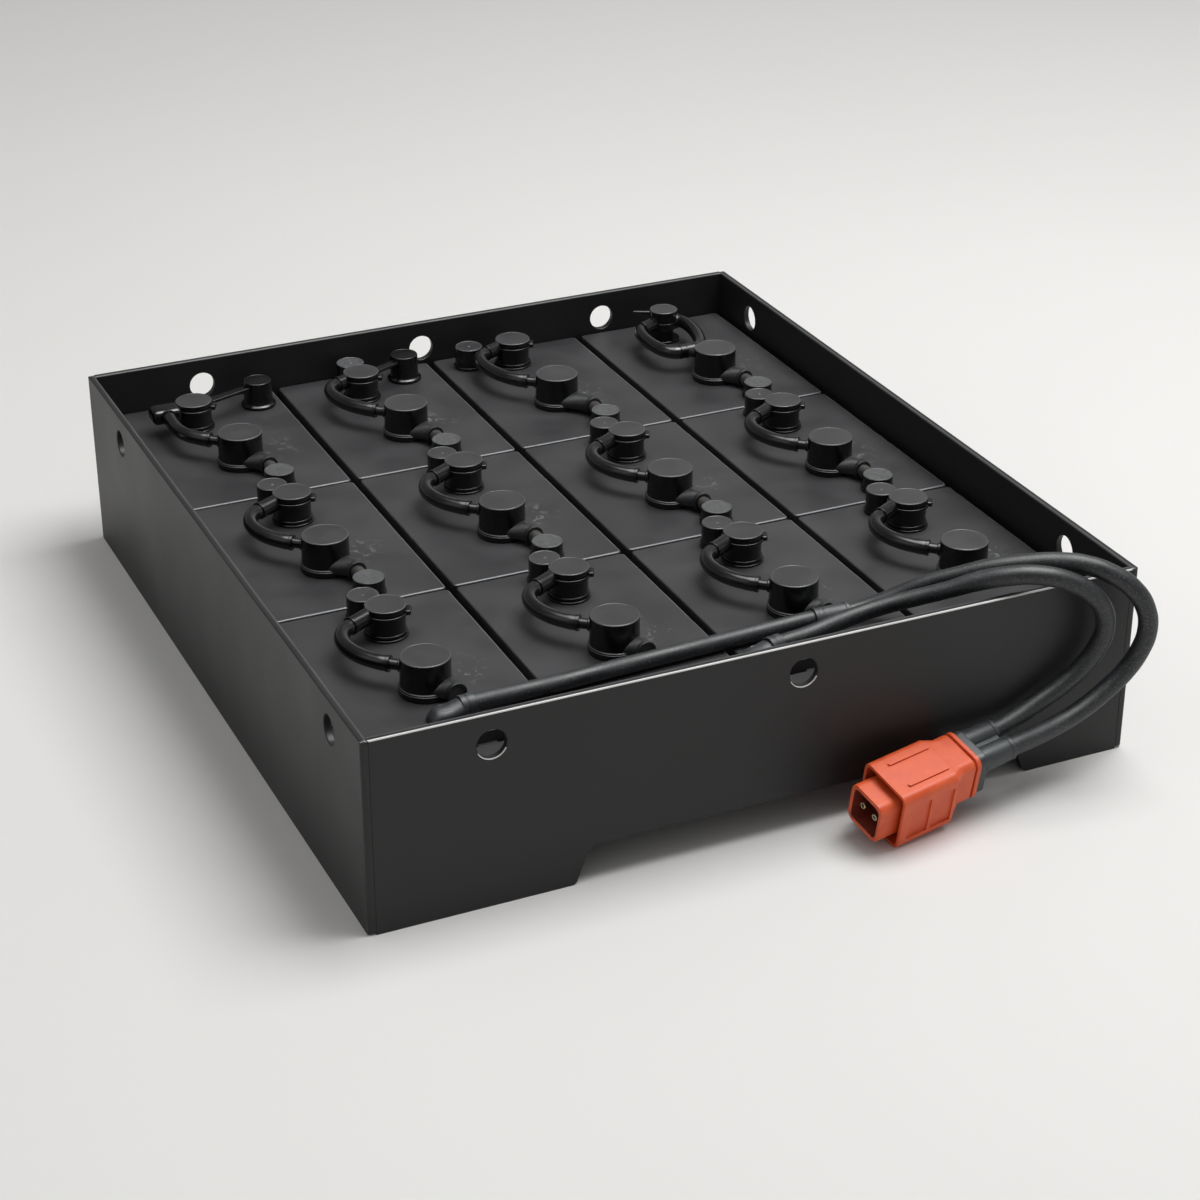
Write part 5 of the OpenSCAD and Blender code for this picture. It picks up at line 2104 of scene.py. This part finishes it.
@dataclass
class PoleCaps:
    """The caps on the poles, the links between them and the back row's side caps.

    Attributes:
        radius: Radius of a cap, in millimetres.
        rear_h: Height of a rear cap.
        front_h: Height of a front cap.
        skirt_r: Radius of the skirt.
        skirt_h: Height of the skirt.
        link_r: Radius of a link.
        link_z: Height of a link.
        stub_r: Radius of a front cap's stub.
        stub_z: Height of a stub.
        stub_gap: Distance from a stub's end to the middle of the ear's collar.
        back_caps: Cell and place of the back row's rear caps, from the rear edge.
        side_caps: Cell and place of the side caps, from the rear edge.
        side_h: Height of a side cap.
        strap: Width and thickness of a side cap's strap.
        strap_z: Height of the strap.
        strap_gap: Distance from its end to the vent plug's middle.
        chalked: The back row's cell whose rear cap has a pale top.
    """

    radius: float = 13.3
    rear_h: float = 21.5
    front_h: float = 15.0
    skirt_r: float = 14.5
    skirt_h: float = 3.0
    link_r: float = 6.0
    link_z: float = 7.5
    stub_r: float = 6.0
    stub_z: float = 8.6
    stub_gap: float = 2.5
    back_caps: tuple[tuple[int, Spot], ...] = ((9, (-8.0, 19.0)), (10, (-48.0, 28.0)))
    side_caps: tuple[tuple[int, Spot], ...] = ((8, (53.5, 32.0)), (9, (42.5, 30.0)))
    side_h: float = 25.5
    strap: Spot = (9.0, 3.0)
    strap_z: float = 20.5
    strap_gap: float = 18.3
    chalked: int = 9

    def build(self, layout: Layout) -> None:
        """Makes caps and links, and dresses the poles under them.

        Args:
            layout: Where things stand on the cells.
        """
        cap, pale, barrel = CAP.material(), PALE_CAP.material(), BARREL.material()
        rear = bmesh.new()
        spots = [(cell, layout.rear_pole) for cell in range(CELLS - COLUMNS)]
        for cell, spot in (*spots, *self.back_caps):
            top = RearSlot.PALE if cell == self.chalked else RearSlot.TOP
            shape = top_off(self.cap(self.rear_h), self.rear_h, top, RearSlot.RIM)
            merge(rear, shape, Matrix.Translation(layout.from_rear(cell, spot)))
        tops = [cap, pale, CAP_LIT_TOP.material(), CAP_RIM_HIGHLIGHT.material()]
        make_piece(rear, "caps_rear", tops, ["rear_pole_caps"])
        front, links = bmesh.new(), bmesh.new()
        for cell in range(COLUMNS, CELLS):
            pole = layout.on_cell(cell, layout.front_pole)
            shape = top_off(self.cap(self.front_h), self.front_h, FrontSlot.PALE, FrontSlot.PALE)
            merge(front, shape, Matrix.Translation(pole))
            self.add_stub(front, layout, cell, pole)
            self.add_link(links, layout.from_rear(cell - COLUMNS, layout.rear_pole), pole)
        stuffs = [cap, pale, barrel]
        make_piece(front, "caps_front", stuffs, ["front_pole_caps"])
        make_piece(links, "links", [HOSE.material()], ["cell_links"], sharp=60.0)
        side = bmesh.new()
        for cell, spot in self.side_caps:
            self.add_side_cap(side, layout.from_rear(cell, spot), layout.vent_at(cell))
        make_piece(side, "caps_side", [cap], ["side_caps"])
        dress("lead_poles", LEAD.material())

    def cap(self, height: float) -> Shape:
        """Makes a cap with its skirt, a ring line and a centre pip on top."""
        radius = self.radius
        return turned(
            [
                (0, 0.2, 0),
                (self.skirt_r - 0.2, 0.2, 0.3),
                (self.skirt_r, self.skirt_h, 0.4),
                (radius + 0.1, self.skirt_h + 0.1, 0),
                (radius - 0.2, height, 0.8),
                (radius - 1.4, height, 0.1),
                (radius - 1.8, height - 0.3, 0),
                (1.9, height - 0.3, 0),
                (1.6, height, 0.1),
                (0, height, 0),
            ],
            steps=48,
        )

    def add_stub(self, piece: Shape, layout: Layout, cell: int, pole: Vector) -> None:
        """Adds the barrel from a front cap into the ear's collar."""
        collar = layout.collar_at(cell)
        way = collar - pole
        length = way.length - self.stub_gap
        stub = turned(
            [
                (0, 0, 0),
                (self.stub_r, 0, 0),
                (self.stub_r, length - 4.6, 0),
                (self.stub_r - 0.3, length - 4.4, 0),
                (self.stub_r - 0.3, length, 0.3),
                (0, length, 0),
            ],
            28,
        )
        place = aimed(pole + Vector((0, 0, self.stub_z)), way)
        merge(piece, stub, place, finish=FrontSlot.BARREL)

    def add_link(self, piece: Shape, rear: Vector, front: Vector) -> None:
        """Adds the bar from one cell's rear cap to the next cell's front cap."""
        way = front - rear
        radius, length = self.link_r, way.length
        bar = turned([(0, 0, 0), (radius, 0, 0), (radius, length, 0), (0, length, 0)], 28)
        merge(piece, bar, aimed(rear + Vector((0, 0, self.link_z)), way))

    def add_side_cap(self, piece: Shape, foot: Vector, vent: Vector) -> None:
        """Adds a side cap with its flared base and the strap to the vent plug."""
        height = self.side_h
        cap = turned(
            [
                (0, 0.2, 0),
                (16.2, 0.2, 0.3),
                (16.2, 2.6, 0.7),
                (self.radius + 0.6, 4.2, 1.0),
                (self.radius, 8, 0),
                (self.radius - 0.2, height, 0.8),
                (self.radius - 1.4, height, 0.1),
                (self.radius - 1.8, height - 0.3, 0),
                (0, height - 0.3, 0),
            ],
            steps=48,
        )
        merge(piece, cap, Matrix.Translation(foot))
        way = Vector((vent.x - foot.x, vent.y - foot.y, 0))
        length = way.length - self.strap_gap
        strap = soft_box(Vector((*self.strap, length)), 0.7)
        place = aimed(foot + Vector((0, 0, self.strap_z)), way)
        merge(piece, strap, place @ Matrix.Translation((0, 0, length / 2)))


def main() -> None:
    """Builds the studio and the battery, and reports each sub-assembly."""
    logging.basicConfig(level=logging.INFO, format="%(message)s")
    cad_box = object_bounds()
    layout = Layout()
    studio = Studio()
    studio.set_view()
    studio.build_camera()
    ChargingLead().build(layout)
    log.info("charging lead and plug are made")
    Tray().build()
    log.info("tray is made")
    # The packing boards are painted near black: painted shade in the gap behind the walls
    dress("packing_boards", BOARD_IN_SHADE.material())
    Cells().build()
    log.info("cells are made")
    valves, vents = FloatValves(), VentPlugs()
    valves.build(layout)
    vents.build(layout)
    log.info("valves and vent plugs are made")
    Hoses().build(layout, valves, vents)
    PoleCaps().build(layout)
    log.info("hoses, caps and links are made")
    studio.build_floor()
    studio.build_light()
    boxes = {"cad": cad_box, "visual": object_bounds()}
    plain = {name: [list(low), list(high)] for name, (low, high) in boxes.items()}


if __name__ == "__main__":
    main()
